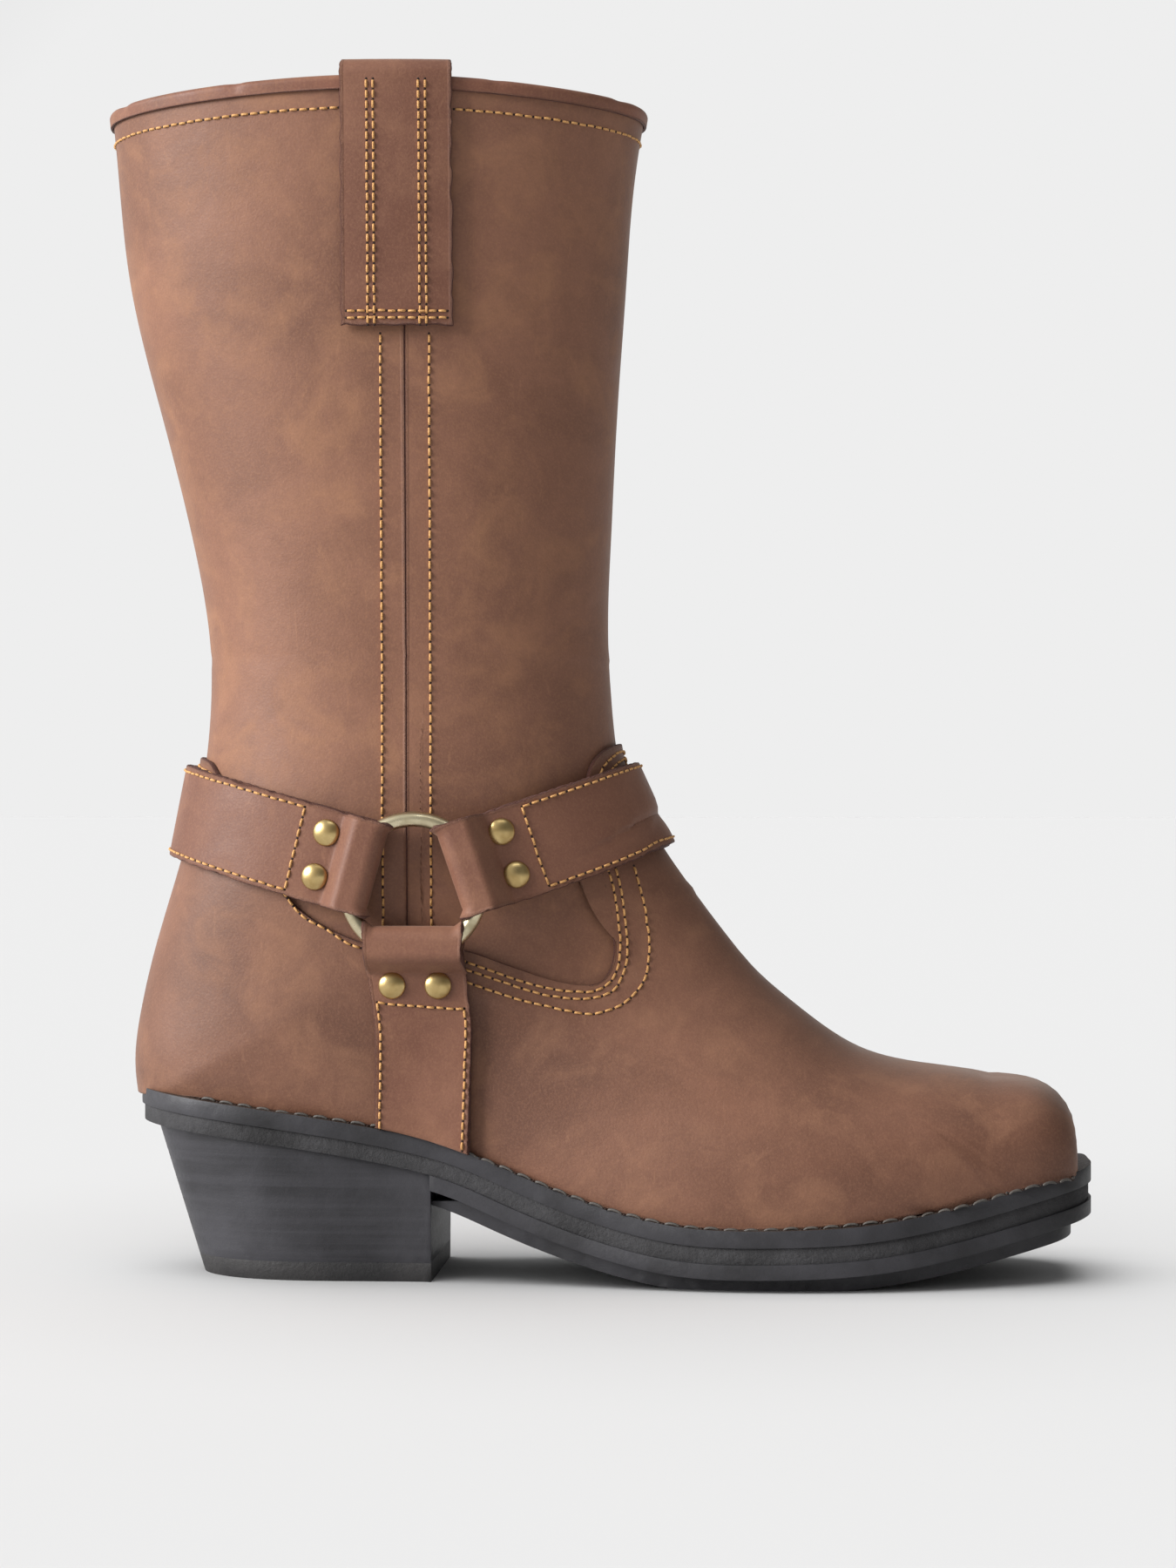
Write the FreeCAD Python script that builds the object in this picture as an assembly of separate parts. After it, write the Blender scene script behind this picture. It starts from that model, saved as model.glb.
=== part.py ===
import FreeCAD
import Part
import math
import os

# Pull-on harness boot, right foot, 12-inch shaft, square toe, underslung block heel.
# Millimetres. +X runs to the toe, -Y is the outer (lateral) side, +Z is up.
# While modelling, X = 0 is the back of the welt and Z = 0 is the ground; at the end the
# whole boot is moved so that its origin is the bottom centre of its bounding box.

V = FreeCAD.Vector

# ---------------------------------------------------------------- driving sizes
sole_length = 287.3          # back of welt to front of outsole
shaft_height = 350.0         # ground to rim at the front and back of the shaft
rim_rise = 3.0               # how much higher the rim stands at the side seams
ball_width = 98.0            # sole, across the ball of the foot
top_half_width = 47.5        # shaft, half its breadth at the rim
ankle_half_width = 38.0      # shaft, half its breadth at the ankle

leather = 1.8                # shaft panels, vamp and counter cover
lining = 1.2                 # pigskin lining
sewn_gap = 0.05              # between leathers that are sewn or glued flat
part_gap = 0.3               # between pieces that move or lie loose

insole_thickness = 3.0
sock_thickness = 2.0
welt_thickness = 5.0
welt_inner_width = 12.0      # from the welt's edge inward to the filler
midsole_thickness = 4.9
midsole_inset = 0.8
outsole_thickness = 4.4
tread_depth = 4.6            # how far the crowned tread bulges below the outsole's edge
tread_inset = 6.0
ball_rise = 24.0             # above this height the sole has no tread
shank_size = (112.0, 15.0, 1.6)

heel_breast_x = 91.0
heel_bottom_back_x = 19.0
heel_bottom_half_width = 29.5
heel_top_back_x = 3.0
heel_top_half_width = 34.0
lift_thickness = 5.6
nail_diameter = 2.4
nail_length = 34.0
nail_count = 7

ring_x = 87.2                # centre of each harness ring
ring_z = 117.3
ring_outer = 44.0
ring_wire = 4.5
strap_width = 28.5
strap_ply = 1.9
fold_distance = 0.4 * strap_width    # from the ring's centre to the fold of each strap
rivet_distance = 29.0        # from the ring's centre to the rivet pair
rivet_spacing = 13.4
rivet_head = 8.0
rivet_dome = 1.7
rivet_post = 3.0
burr_diameter = 7.0
burr_thickness = 0.8
front_strap_angle = 19.0     # straps climb away from the ring, degrees
rear_strap_angle = 164.5
stirrup_angle = 270.0
strap_rise = {"front": 0.3, "rear": 1.6, "stirrup": 0.0}
leg_return = 44.0            # how far the folded-back leg of an ankle strap reaches

pull_strap_x = 82.3
pull_strap_width = 32.5
pull_strap_ply = 2.0
pull_strap_foot_z = 281.0
pull_strap_inside_z = 298.0
pull_strap_loop = 5.5        # how far its loop stands above the rim

binding_ply = 1.0
binding_outside = 3.2
binding_inside = 12.0
seam_tape_width = 14.0
seam_tape_ply = 0.7

reach = 120.0                # half-length of every cutting prism across the boot


# ---------------------------------------------------------------- how the sizes drive the shape
# The outlines below are drawn for these sizes, and follow the driving sizes from there.
DRAWN_LENGTH = 287.3
DRAWN_HEIGHT = 350.0
DRAWN_BALL = 98.0
ANKLE_Z = 165.0


def along(x):
    """Places on the forefoot follow the length of the sole; the heel stays where it is."""
    start = 110.0
    return x if x < start else start + (x - start) * (sole_length - start) / (DRAWN_LENGTH - start)


def up(z):
    """Places on the shaft follow its height; the ankle and foot stay where they are."""
    start = 170.0
    return z if z < start else start + (z - start) * (shaft_height - start) / (DRAWN_HEIGHT - start)


def broad(y, x):
    """Breadths of the forefoot follow the width of the ball; the heel keeps its own."""
    share = min(max((x - 95.0) / 60.0, 0.0), 1.0)
    return y * (1.0 + share * (ball_width / DRAWN_BALL - 1.0))


def shaft_half(z):
    """Half breadth of the shaft from ankle to rim."""
    share = (z - ANKLE_Z) / (DRAWN_HEIGHT - ANKLE_Z)
    return ankle_half_width + (top_half_width - ankle_half_width) * share ** 1.15


# ---------------------------------------------------------------- the last: a bent tube of sections
class Section:
    """One closed slice of the boot: a front (or top) point, a back (or bottom) point,
    its half breadth, how square each half is and how far from the back it is widest."""

    def __init__(self, front, back, half, centre=0.0, squareness=(2.1, 2.1), widest=0.5, cover=1.0):
        self.front = V(front[0], 0, front[1])
        self.back = V(back[0], 0, back[1])
        self.half = half
        self.centre = centre
        self.squareness = squareness
        self.widest = widest
        self.cover = cover

    def points(self, offset, ahead=0.0):
        """The slice grown by offset, from its back point round and back to it again.
        Covered slices start one leather inside their outline."""
        grow = offset - self.cover * (leather + sewn_gap)
        axis = (self.front - self.back).normalize()
        front = self.front + axis * grow
        back = self.back - axis * grow
        middle = back + axis * ((front - back).Length * self.widest)
        half = self.half + grow
        push = V(axis.z, 0, -axis.x) * ahead
        steps = 28
        ring = []
        for step in range(steps):
            turn = math.pi + 2 * math.pi * step / steps
            cosine = math.cos(turn)
            sine = math.sin(turn)
            in_front = cosine > -1e-9
            power = 2.0 / (self.squareness[0] if in_front else self.squareness[1])
            span = (front - middle).Length if in_front else (middle - back).Length
            run = math.copysign(abs(cosine) ** power, cosine) * span
            side = math.copysign(abs(sine) ** power, sine) * half
            ring.append(middle + axis * run + push + V(0, self.centre + side, 0))
        return ring + ring[:1]


def shaft_section(front_x, back_x, z):
    return Section((front_x, up(z)), (back_x, up(z)), shaft_half(z), cover=0.0)


SECTIONS = [
    shaft_section(154.5, -10.0, 368),
    shaft_section(152.6, -9.0, 348),
    shaft_section(149.8, -7.3, 330),
    shaft_section(147.4, -4.0, 300),
    shaft_section(144.6, 5.6, 260),
    shaft_section(142.6, 15.6, 220),
    shaft_section(141.8, 20.6, 190),
    shaft_section(143.0, 20.8, 170),
    Section((146.5, 151), (14.5, 130), ankle_half_width + 0.4, cover=0.35),
    Section((151.5, 141), (5.8, 104), ankle_half_width + 0.6),
    Section((157.5, 130), (-1.0, 76), ankle_half_width - 0.3, widest=0.52),
    Section((163.5, 121), (0.6, 50), ankle_half_width - 1.5, squareness=(2.1, 2.3), widest=0.48),
    Section((170.0, 112), (22, 37), ankle_half_width - 3.0, -0.3, (2.1, 2.5), 0.44),
    Section((178.0, 101.5), (60, 30), ankle_half_width - 3.6, -1.0, (2.1, 2.6), 0.42),
    Section((along(187), 91), (100, 19), broad(36.5, 120), -2.1, (2.1, 2.7), 0.40),
    Section((along(200), 80), (along(140), 3), broad(41, 160), -3.0, (2.1, 2.8), 0.38),
    Section((along(220), 67.2), (along(185), -3), broad(44.5, 200), -1.6, (2.2, 2.9), 0.42),
    Section((along(245), 62), (along(230), 2), broad(42.5, 240), 0.7, (2.5, 2.9), 0.42),
    Section((along(262), 59.6), (along(258), 12), broad(38, 260), 2.0, (2.8, 2.9), 0.44),
    Section((along(274), 56.5), (along(274), 19), broad(33, 274), 2.3, (2.9, 2.9), 0.46),
    Section((along(281.2), 50), (along(282), 24), broad(27.5, 282), 2.5, (2.9, 2.9), 0.46),
]

body_cache = {}


def body(offset):
    """The whole boot as one solid, grown by offset; 0 is the outside of the shaft panels."""
    key = round(offset, 4)
    if key not in body_cache:
        grid = [section.points(offset) for section in SECTIONS[:-1]]
        grid.append(SECTIONS[-1].points(offset, ahead=offset - leather - sewn_gap))
        surface = Part.BSplineSurface()
        surface.interpolate(grid)
        side = surface.toShape()
        faces = [side]
        for edge in side.Edges:
            if edge.isClosed():
                faces.append(Part.Face(Part.Wire([edge])))
        skin = Part.makeShell(faces)
        skin.sewShape()
        body_cache[key] = Part.Solid(skin.Shells[0])
    return body_cache[key]


def shell(inner, outer, region):
    """The layer between two growths of the boot, inside a region."""
    return region.common(body(outer)).cut(body(inner))


# ---------------------------------------------------------------- regions seen from the side
def flat(points):
    return [V(x, 0, z) for x, z in points]


def curve_through(points):
    curve = Part.BSplineCurve()
    curve.interpolate(flat(points))
    return curve.toShape()


def line_through(points):
    return [Part.makeLine(a, b) for a, b in zip(flat(points), flat(points)[1:])]


def prism(edges, low=-reach, high=reach):
    """An outline in the side view, pushed across the boot."""
    face = Part.Face(Part.Wire(Part.sortEdges(edges)[0]))
    face.translate(V(0, low, 0))
    return face.extrude(V(0, high - low, 0))


def region_of(curve, corners):
    """The side-view region closed by one curve and the straight runs from its end to its start."""
    return prism([curve_through(curve)] + line_through([curve[-1]] + corners + [curve[0]]))


def box(x0, x1, y0, y1, z0, z1):
    return Part.makeBox(x1 - x0, y1 - y0, z1 - z0, V(x0, y0, z0))


FAR = 420.0
SEAM_X = 84.5                # the side seams run straight down the middle of the shaft


def rim_line(drop):
    """The rim in side view: a shallow arc, highest at the side seams."""
    high = shaft_height + rim_rise - drop
    ends = shaft_height - 0.5 - drop
    return [(-60, ends - 1.5), (-9, ends), (SEAM_X - 8, high), (153, ends), (210, ends - 1.5)]


def below_rim(drop):
    return region_of(rim_line(drop), [(210, -60), (-60, -60)])


# welt line: where the upper meets the sole, heel seat to toe
WELT_LINE = [(-14, 57.2), (0, 56), (29, 52.6), (60, 48.3), (85, 43.8), (100, 39.8), (118, 32.4),
             (along(144), 23.2), (along(165), 18.8), (along(190), 18.1), (along(221), 19.8),
             (along(246), 24.3), (along(273), 31), (along(290), 35.5), (along(310), 41)]


def sole_line(depth):
    """The welt line moved straight away from the foot by depth."""
    points = []
    for index, (x, z) in enumerate(WELT_LINE):
        before = WELT_LINE[max(index - 1, 0)]
        after = WELT_LINE[min(index + 1, len(WELT_LINE) - 1)]
        run = math.hypot(after[0] - before[0], after[1] - before[1])
        points.append((x + depth * (after[1] - before[1]) / run,
                       z - depth * (after[0] - before[0]) / run))
    return points


def above_sole(lift):
    line = sole_line(-lift)
    return region_of(line, [(line[-1][0], FAR), (line[0][0], FAR)])


def sole_band(top, bottom):
    """The side-view band between two depths below the welt line."""
    upper = sole_line(top)
    lower = sole_line(bottom)
    ends = line_through([upper[-1], lower[-1]]) + line_through([lower[0], upper[0]])
    return prism([curve_through(upper), curve_through(lower)] + ends)


# ---------------------------------------------------------------- sole outline, seen from above
SOLE_OUTLINE = [(0, 0), (3.5, -15), (14, -27), (31, -33.5), (62, -35.3), (95, -36), (122, -38.5),
                (152, -44.5), (183, -49.2), (207, -49), (232, -45), (252, -38.6), (270, -31),
                (281, -24), (286, -13), (286.5, 3), (285.5, 19), (280, 30), (269, 37.5), (252, 43),
                (232, 47.2), (207, 47.6), (183, 44.6), (152, 38), (122, 33), (95, 32.4), (62, 33.3),
                (31, 33), (14, 27), (3.5, 15)]


def outline_face(inset):
    """The sole's outline at z = 0, moved inward by inset."""
    points = []
    count = len(SOLE_OUTLINE)
    placed = [V(along(x), broad(y, x), 0) for x, y in SOLE_OUTLINE]
    for index, point in enumerate(placed):
        before = placed[index - 1]
        after = placed[(index + 1) % count]
        tangent = (after - before).normalize()
        points.append(point + V(-tangent.y, tangent.x, 0) * inset)
    curve = Part.BSplineCurve()
    curve.interpolate(Points=points, PeriodicFlag=True)
    return Part.Face(Part.Wire([curve.toShape()]))


def outline_prism(inset):
    face = outline_face(inset)
    face.translate(V(0, 0, -40))
    return face.extrude(V(0, 0, 160))


# ---------------------------------------------------------------- edges of the upper's pieces
VAMP_EDGE = [(160, 161), (147, 160), (140, 157), (136.3, 150), (137.5, 137), (141.2, 119.5),
             (144.2, 102.6), (143.6, 92.5), (138, 87.8), (127, 89.3), (113, 94.2), (102, 98.3),
             (SEAM_X + 1.2, 102)]
COUNTER_EDGE = [(SEAM_X + 0.8, 100.5), (69, 101.6), (50, 112.8), (36, 134), (27, 150), (18, 155.5),
                (-20, 157.5)]
QUARTER_EDGE = [(-30, 141), (14, 139), (27, 122), (45, 102), (70, 91), (95, 89), (128, 79), (146, 79),
                (154, 90), (154, 112), (150, 134), (175, 141)]


def vamp_region():
    return region_of(VAMP_EDGE, [(SEAM_X + 1.2, -40), (along(340), -40), (along(340), 161)])


def counter_region():
    return region_of(COUNTER_EDGE, [(-60, 157.5), (-60, -40), (SEAM_X + 0.8, -40)])


def quarter_above(lift):
    """Where the shaft panels reach: above a hidden edge under the vamp and counter cover."""
    edge = [(x, z + lift) for x, z in QUARTER_EDGE]
    return prism(line_through(edge + [(175, FAR), (-30, FAR), edge[0]]))


def quarter_below(drop):
    edge = [(x, z - drop) for x, z in QUARTER_EDGE]
    corners = [(along(340), edge[-1][1]), (along(340), -60), (-30, -60), edge[0]]
    return prism(line_through(edge + corners))


# ---------------------------------------------------------------- upper
def shaft_panels():
    region = below_rim(0).common(quarter_above(0))
    layer = shell(-leather, 0, region)
    half_gap = sewn_gap / 2
    front = layer.common(box(SEAM_X + half_gap, FAR, -reach, reach, -50, FAR))
    back = layer.common(box(-100, SEAM_X - half_gap, -reach, reach, -50, FAR))
    return front, back


def vamp():
    region = vamp_region().common(above_sole(sewn_gap))
    return shell(sewn_gap, sewn_gap + leather, region)


def counter_cover():
    region = counter_region().common(above_sole(sewn_gap))
    return shell(sewn_gap, sewn_gap + leather, region)


def shaft_lining():
    region = below_rim(0).common(quarter_above(0))
    return shell(-leather - sewn_gap - lining, -leather - sewn_gap, region)


TOE_PUFF_X = 234.0
STIFFENER_EDGE = [(60, 30), (58, 60), (44, 84), (24, 98), (-30, 102)]


def toe_puff_region():
    return box(along(TOE_PUFF_X), along(340), -reach, reach, -50, 140)


def stiffener_region():
    return region_of(STIFFENER_EDGE, [(-30, 30)])


def toe_puff():
    region = toe_puff_region().common(above_sole(sewn_gap))
    return shell(-leather, 0, region)


def heel_stiffener():
    region = stiffener_region().common(above_sole(sewn_gap))
    return shell(-leather, 0, region)


def foot_lining():
    region = quarter_below(part_gap).common(above_sole(sewn_gap))
    lined = shell(-leather - sewn_gap - lining, -sewn_gap, region)
    pockets = toe_puff_region().fuse(stiffener_region())
    pockets = pockets.common(above_sole(-5)).cut(body(-leather - sewn_gap))
    return lined.cut(pockets)


def seam_tapes():
    """Narrow reinforcing tapes inside the shaft, behind the two side seams."""
    inner = -leather - sewn_gap - lining
    region = box(SEAM_X - seam_tape_width / 2, SEAM_X + seam_tape_width / 2, -reach, reach,
                 100, pull_strap_inside_z - part_gap)
    return shell(inner - sewn_gap - seam_tape_ply, inner - sewn_gap, region)


def top_binding():
    """A thin strip folded over the rim: a short leg outside, a longer one inside."""
    inner = -leather - sewn_gap - lining
    crown = below_rim(-sewn_gap - binding_ply).cut(below_rim(-sewn_gap))
    over = shell(inner - sewn_gap - binding_ply, sewn_gap + binding_ply, crown)
    band_out = below_rim(-sewn_gap).cut(below_rim(binding_outside))
    outside = shell(sewn_gap, sewn_gap + binding_ply, band_out)
    band_in = below_rim(-sewn_gap).cut(below_rim(binding_inside))
    inside = shell(inner - sewn_gap - binding_ply, inner - sewn_gap, band_in)
    return over.fuse(outside).fuse(inside)


def pull_strap(side):
    """A strap folded over the rim: a leg sewn outside, a loop above, a leg sewn inside."""
    inner = -leather - sewn_gap - lining - 2 * sewn_gap - binding_ply
    outer = 2 * sewn_gap + binding_ply
    x0 = pull_strap_x - pull_strap_width / 2
    x1 = pull_strap_x + pull_strap_width / 2
    y0, y1 = (-reach, 0) if side < 0 else (0, reach)
    top = shaft_height + rim_rise + pull_strap_loop
    legs_out = shell(outer, outer + pull_strap_ply, box(x0, x1, y0, y1, pull_strap_foot_z, top))
    legs_in = shell(inner - pull_strap_ply, inner, box(x0, x1, y0, y1, pull_strap_inside_z, top))
    bridge = shell(inner - pull_strap_ply, outer + pull_strap_ply,
                   box(x0, x1, y0, y1, top - pull_strap_ply, top))
    return legs_out.fuse(legs_in).fuse(bridge)


# ---------------------------------------------------------------- bottom
def insole_board():
    inner = -leather - sewn_gap - lining - sewn_gap
    region = above_sole(sewn_gap).cut(above_sole(sewn_gap + insole_thickness))
    return region.common(body(inner))


def sock_liner():
    inner = -leather - sewn_gap - lining - sewn_gap
    start = insole_thickness + 2 * sewn_gap
    region = above_sole(start).cut(above_sole(start + sock_thickness))
    return region.common(body(inner))


def shank_space(grow):
    """The steel shank lies in the filler through the waist, from heel seat to ball."""
    length, breadth, thick = shank_size
    centre_x = heel_breast_x + 14.0
    top = welt_thickness - thick - sewn_gap
    half_x = length / 2 + grow
    half_y = breadth / 2 + grow
    plan = box(centre_x - half_x, centre_x + half_x, -half_y, half_y, -50, FAR)
    return sole_band(top - grow, welt_thickness - sewn_gap).common(plan)


def welt():
    ring = outline_prism(0).cut(outline_prism(welt_inner_width))
    return sole_band(0, welt_thickness).common(ring)


def bottom_filler():
    pad = sole_band(0, welt_thickness).common(outline_prism(welt_inner_width + sewn_gap))
    return pad.cut(shank_space(sewn_gap))


def midsole():
    return sole_band(welt_thickness, welt_thickness + midsole_thickness).common(
        outline_prism(midsole_inset))


def outsole():
    top = welt_thickness + midsole_thickness
    ahead = box(heel_breast_x + sewn_gap, FAR, -reach, reach, -50, FAR)
    base = sole_band(top, top + outsole_thickness).common(outline_prism(0))
    ground = box(heel_breast_x, FAR, -reach, reach, 0, ball_rise)
    bulge = sole_band(top + outsole_thickness / 2, top + outsole_thickness + tread_depth)
    tread = bulge.common(outline_prism(tread_inset)).common(ground)
    return base.fuse(tread).common(ahead)


def heel_plan(back_x, half, z):
    """The heel's D shape at one height: a round back and a straight breast."""
    front = heel_breast_x
    straight = front - 30.0
    shoulder = back_x + (front - back_x) * 0.22
    corner = back_x + 3.0
    outer_side = [(front, -1.02), (straight, -1.0), (shoulder, -0.83), (corner, -0.42)]
    inner_side = [(corner, 0.42), (shoulder, 0.83), (straight, 1.0), (front, 0.96)]
    points = [V(x, half * share, z) for x, share in outer_side + [(back_x, 0)] + inner_side]
    curve = Part.BSplineCurve()
    curve.interpolate(points)
    return Part.Wire([curve.toShape(), Part.makeLine(points[-1], points[0])])


def heel_stack():
    top_z = 52.0
    return Part.makeLoft([heel_plan(heel_bottom_back_x, heel_bottom_half_width, 0),
                          heel_plan(heel_top_back_x, heel_top_half_width, top_z)], True, False)


def nail_places():
    """Nails follow the heel's D, well inside its edge, and pass up into the insole."""
    middle_x = (heel_bottom_back_x + heel_breast_x) / 2
    reach_x = 23.0
    reach_y = 17.0
    first, sweep = 60.0, 240.0
    places = []
    for index in range(nail_count):
        turn = math.radians(first + sweep * index / (nail_count - 1))
        places.append((middle_x + reach_x * math.cos(turn), reach_y * math.sin(turn)))
    return places


def heel_nails(grow):
    bottom_z = lift_thickness + 2.0
    nails = []
    for x, y in nail_places():
        nails.append(Part.makeCylinder(nail_diameter / 2 + grow, nail_length, V(x, y, bottom_z)))
    return Part.makeCompound(nails)


# ---------------------------------------------------------------- harness
def ring_plane():
    """Distance from the boot's middle plane to each ring's own plane."""
    crown = SECTIONS[9].half
    return crown + 2 * sewn_gap + strap_ply + part_gap + ring_wire / 2 + 0.6


def torus(side, grow):
    radius = (ring_outer - ring_wire) / 2
    return Part.makeTorus(radius, ring_wire / 2 + grow, V(ring_x, side * ring_plane(), ring_z),
                          V(0, 1, 0))


def strap_frame(angle, rise):
    """Unit directions of a strap in the side view, and the point its middle line starts from."""
    along_strap = V(math.cos(math.radians(angle)), 0, math.sin(math.radians(angle)))
    across = V(-along_strap.z, 0, along_strap.x)
    if across.z < 0 or abs(across.z) < 1e-6:
        across = across * -1
    return along_strap, across, V(ring_x, 0, ring_z) + across * rise


def strap_strip(angle, rise, start, end, low=-reach, high=reach):
    """A straight strip in the side view, from start to end along the strap."""
    along_strap, across, origin = strap_frame(angle, rise)
    half = strap_width / 2
    corners = [origin + along_strap * start - across * half, origin + along_strap * end - across * half,
               origin + along_strap * end + across * half, origin + along_strap * start + across * half]
    return prism(line_through([(c.x, c.z) for c in corners + corners[:1]]), low, high)


def pocket_outline(points, angle, rise, side):
    """A profile of (distance along the strap, distance from the middle plane), as wide as the strap."""
    along_strap, across, origin = strap_frame(angle, rise)
    half = strap_width / 2
    corners = [origin + along_strap * u + V(0, side * n, 0) - across * half for u, n in points]
    face = Part.Face(Part.makePolygon(corners + corners[:1]))
    return face.extrude(across * strap_width)


def pocket(angle, rise, side):
    """The fold that holds the ring: a thick end with a flat slot for the wire."""
    plane = ring_plane()
    inside = ring_wire / 2 + part_gap
    outside = inside + strap_ply
    start = fold_distance
    shoulder = (ring_outer - ring_wire) / 2 + 1.0
    end = rivet_distance - rivet_head / 2 - 0.5
    hull = pocket_outline([(start, plane - outside + 2.6), (start, plane - outside - 8),
                           (end + 4, plane - outside - 14), (end + 4, plane - outside - 1.0),
                           (end, plane - 3.0), (shoulder, plane + outside),
                           (start + 2.6, plane + outside), (start + 0.9, plane + outside - 0.9),
                           (start, plane + outside - 2.6)], angle, rise, side)
    slot = pocket_outline([(start + strap_ply, plane - inside), (shoulder + 3.0, plane - inside),
                           (shoulder + 3.0, plane - 0.6), (shoulder + 0.5, plane + inside),
                           (start + strap_ply, plane + inside)], angle, rise, side)
    return hull.cut(slot)


BASE = leather + 2 * sewn_gap
PLY_1 = BASE + strap_ply
PLY_2 = PLY_1 + sewn_gap
OUTSIDE = PLY_2 + strap_ply


def rivet_axes(angle, rise, side):
    """Where the two rivets of a strap end stand, and which way they point."""
    along_strap, across, origin = strap_frame(angle, rise)
    places = []
    for step in (-0.5, 0.5):
        at = origin + along_strap * rivet_distance + across * (rivet_spacing * step)
        ray = Part.makeLine(V(at.x, 0, at.z), V(at.x, side * reach, at.z))
        hit = ray.common(body(OUTSIDE))
        far = max((v.Point for v in hit.Vertexes), key=lambda p: abs(p.y))
        near_x = surface_y(at.x + 3, at.z, side) - surface_y(at.x - 3, at.z, side)
        near_z = surface_y(at.x, at.z + 3, side) - surface_y(at.x, at.z - 3, side)
        normal = V(-near_x / 6, 1, -near_z / 6) * side
        places.append((far, normal.normalize()))
    return places


def surface_y(x, z, side):
    ray = Part.makeLine(V(x, 0, z), V(x, side * reach, z))
    hit = ray.common(body(OUTSIDE))
    return max((v.Point.y * side for v in hit.Vertexes)) * side


def rivet_head_solid(at, normal):
    """A low dome: the cap of a sphere standing on the strap."""
    radius = ((rivet_head / 2) ** 2 + rivet_dome ** 2) / (2 * rivet_dome)
    sphere = Part.makeSphere(radius, at + normal * (rivet_dome - radius))
    slab = Part.makeCylinder(rivet_head, rivet_dome + 1, at, normal)
    return sphere.common(slab)


def rivets(places):
    solids = []
    for at, normal in places:
        post = Part.makeCylinder(rivet_post / 2, 2 * strap_ply + sewn_gap, at - normal *
                                 (2 * strap_ply + sewn_gap), normal)
        solids.append(rivet_head_solid(at, normal).fuse(post))
    return Part.makeCompound(solids)


def burrs(places):
    solids = []
    depth = 2 * strap_ply + sewn_gap - 0.1
    for at, normal in places:
        low = at - normal * depth
        disc = Part.makeCylinder(burr_diameter / 2, burr_thickness, low, normal)
        solids.append(disc.cut(Part.makeCylinder(rivet_post / 2, 10, at - normal * 8, normal)))
    return Part.makeCompound(solids)


def rivet_bores(places):
    """Everything that the rivets and burrs take out of a strap."""
    cuts = []
    depth = 2 * strap_ply + sewn_gap - 0.1
    for at, normal in places:
        cuts.append(Part.makeCylinder(rivet_post / 2, 14, at - normal * 12, normal))
        cuts.append(Part.makeCylinder(burr_diameter / 2, burr_thickness + 4, at - normal * (depth + 4),
                                      normal))
        cuts.append(Part.makeCylinder(rivet_head / 2 + 1, 9, at, normal))
    return cuts


def strap_end(angle, rise, side):
    return pocket(angle, rise, side).cut(body(BASE))


def ankle_strap(angle, rise):
    """One strap from ring to ring: an outer ply, a fold at each ring and two legs folded back."""
    end = 200.0
    start = ring_outer / 2 + 2 * part_gap
    outer = shell(PLY_2, OUTSIDE, strap_strip(angle, rise, start, end))
    legs = shell(BASE, PLY_1, strap_strip(angle, rise, start, leg_return))
    strap = outer.fuse(legs)
    for side in (-1, 1):
        strap = strap.fuse(strap_end(angle, rise, side))
    for side in (-1, 1):
        strap = strap.cut(torus(side, part_gap))
        for cutter in rivet_bores(rivet_axes(angle, rise, side)):
            strap = strap.cut(cutter)
    return strap


def strap_backing(angle, rise):
    return shell(BASE, PLY_1, strap_strip(angle, rise, leg_return + part_gap, 200.0))


def stirrup_strap(side):
    """A doubled strap from the ring down the side and into the welt seam."""
    rise = strap_rise["stirrup"]
    start = ring_outer / 2 + 2 * part_gap
    low, high = (-reach, 0) if side < 0 else (0, reach)
    region = strap_strip(stirrup_angle, rise, start, 120.0, low, high).common(above_sole(sewn_gap))
    strap = shell(PLY_2, OUTSIDE, region).fuse(shell(BASE, PLY_1, region))
    strap = strap.fuse(strap_end(stirrup_angle, rise, side)).cut(torus(side, part_gap))
    for cutter in rivet_bores(rivet_axes(stirrup_angle, rise, side)):
        strap = strap.cut(cutter)
    return strap


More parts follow.
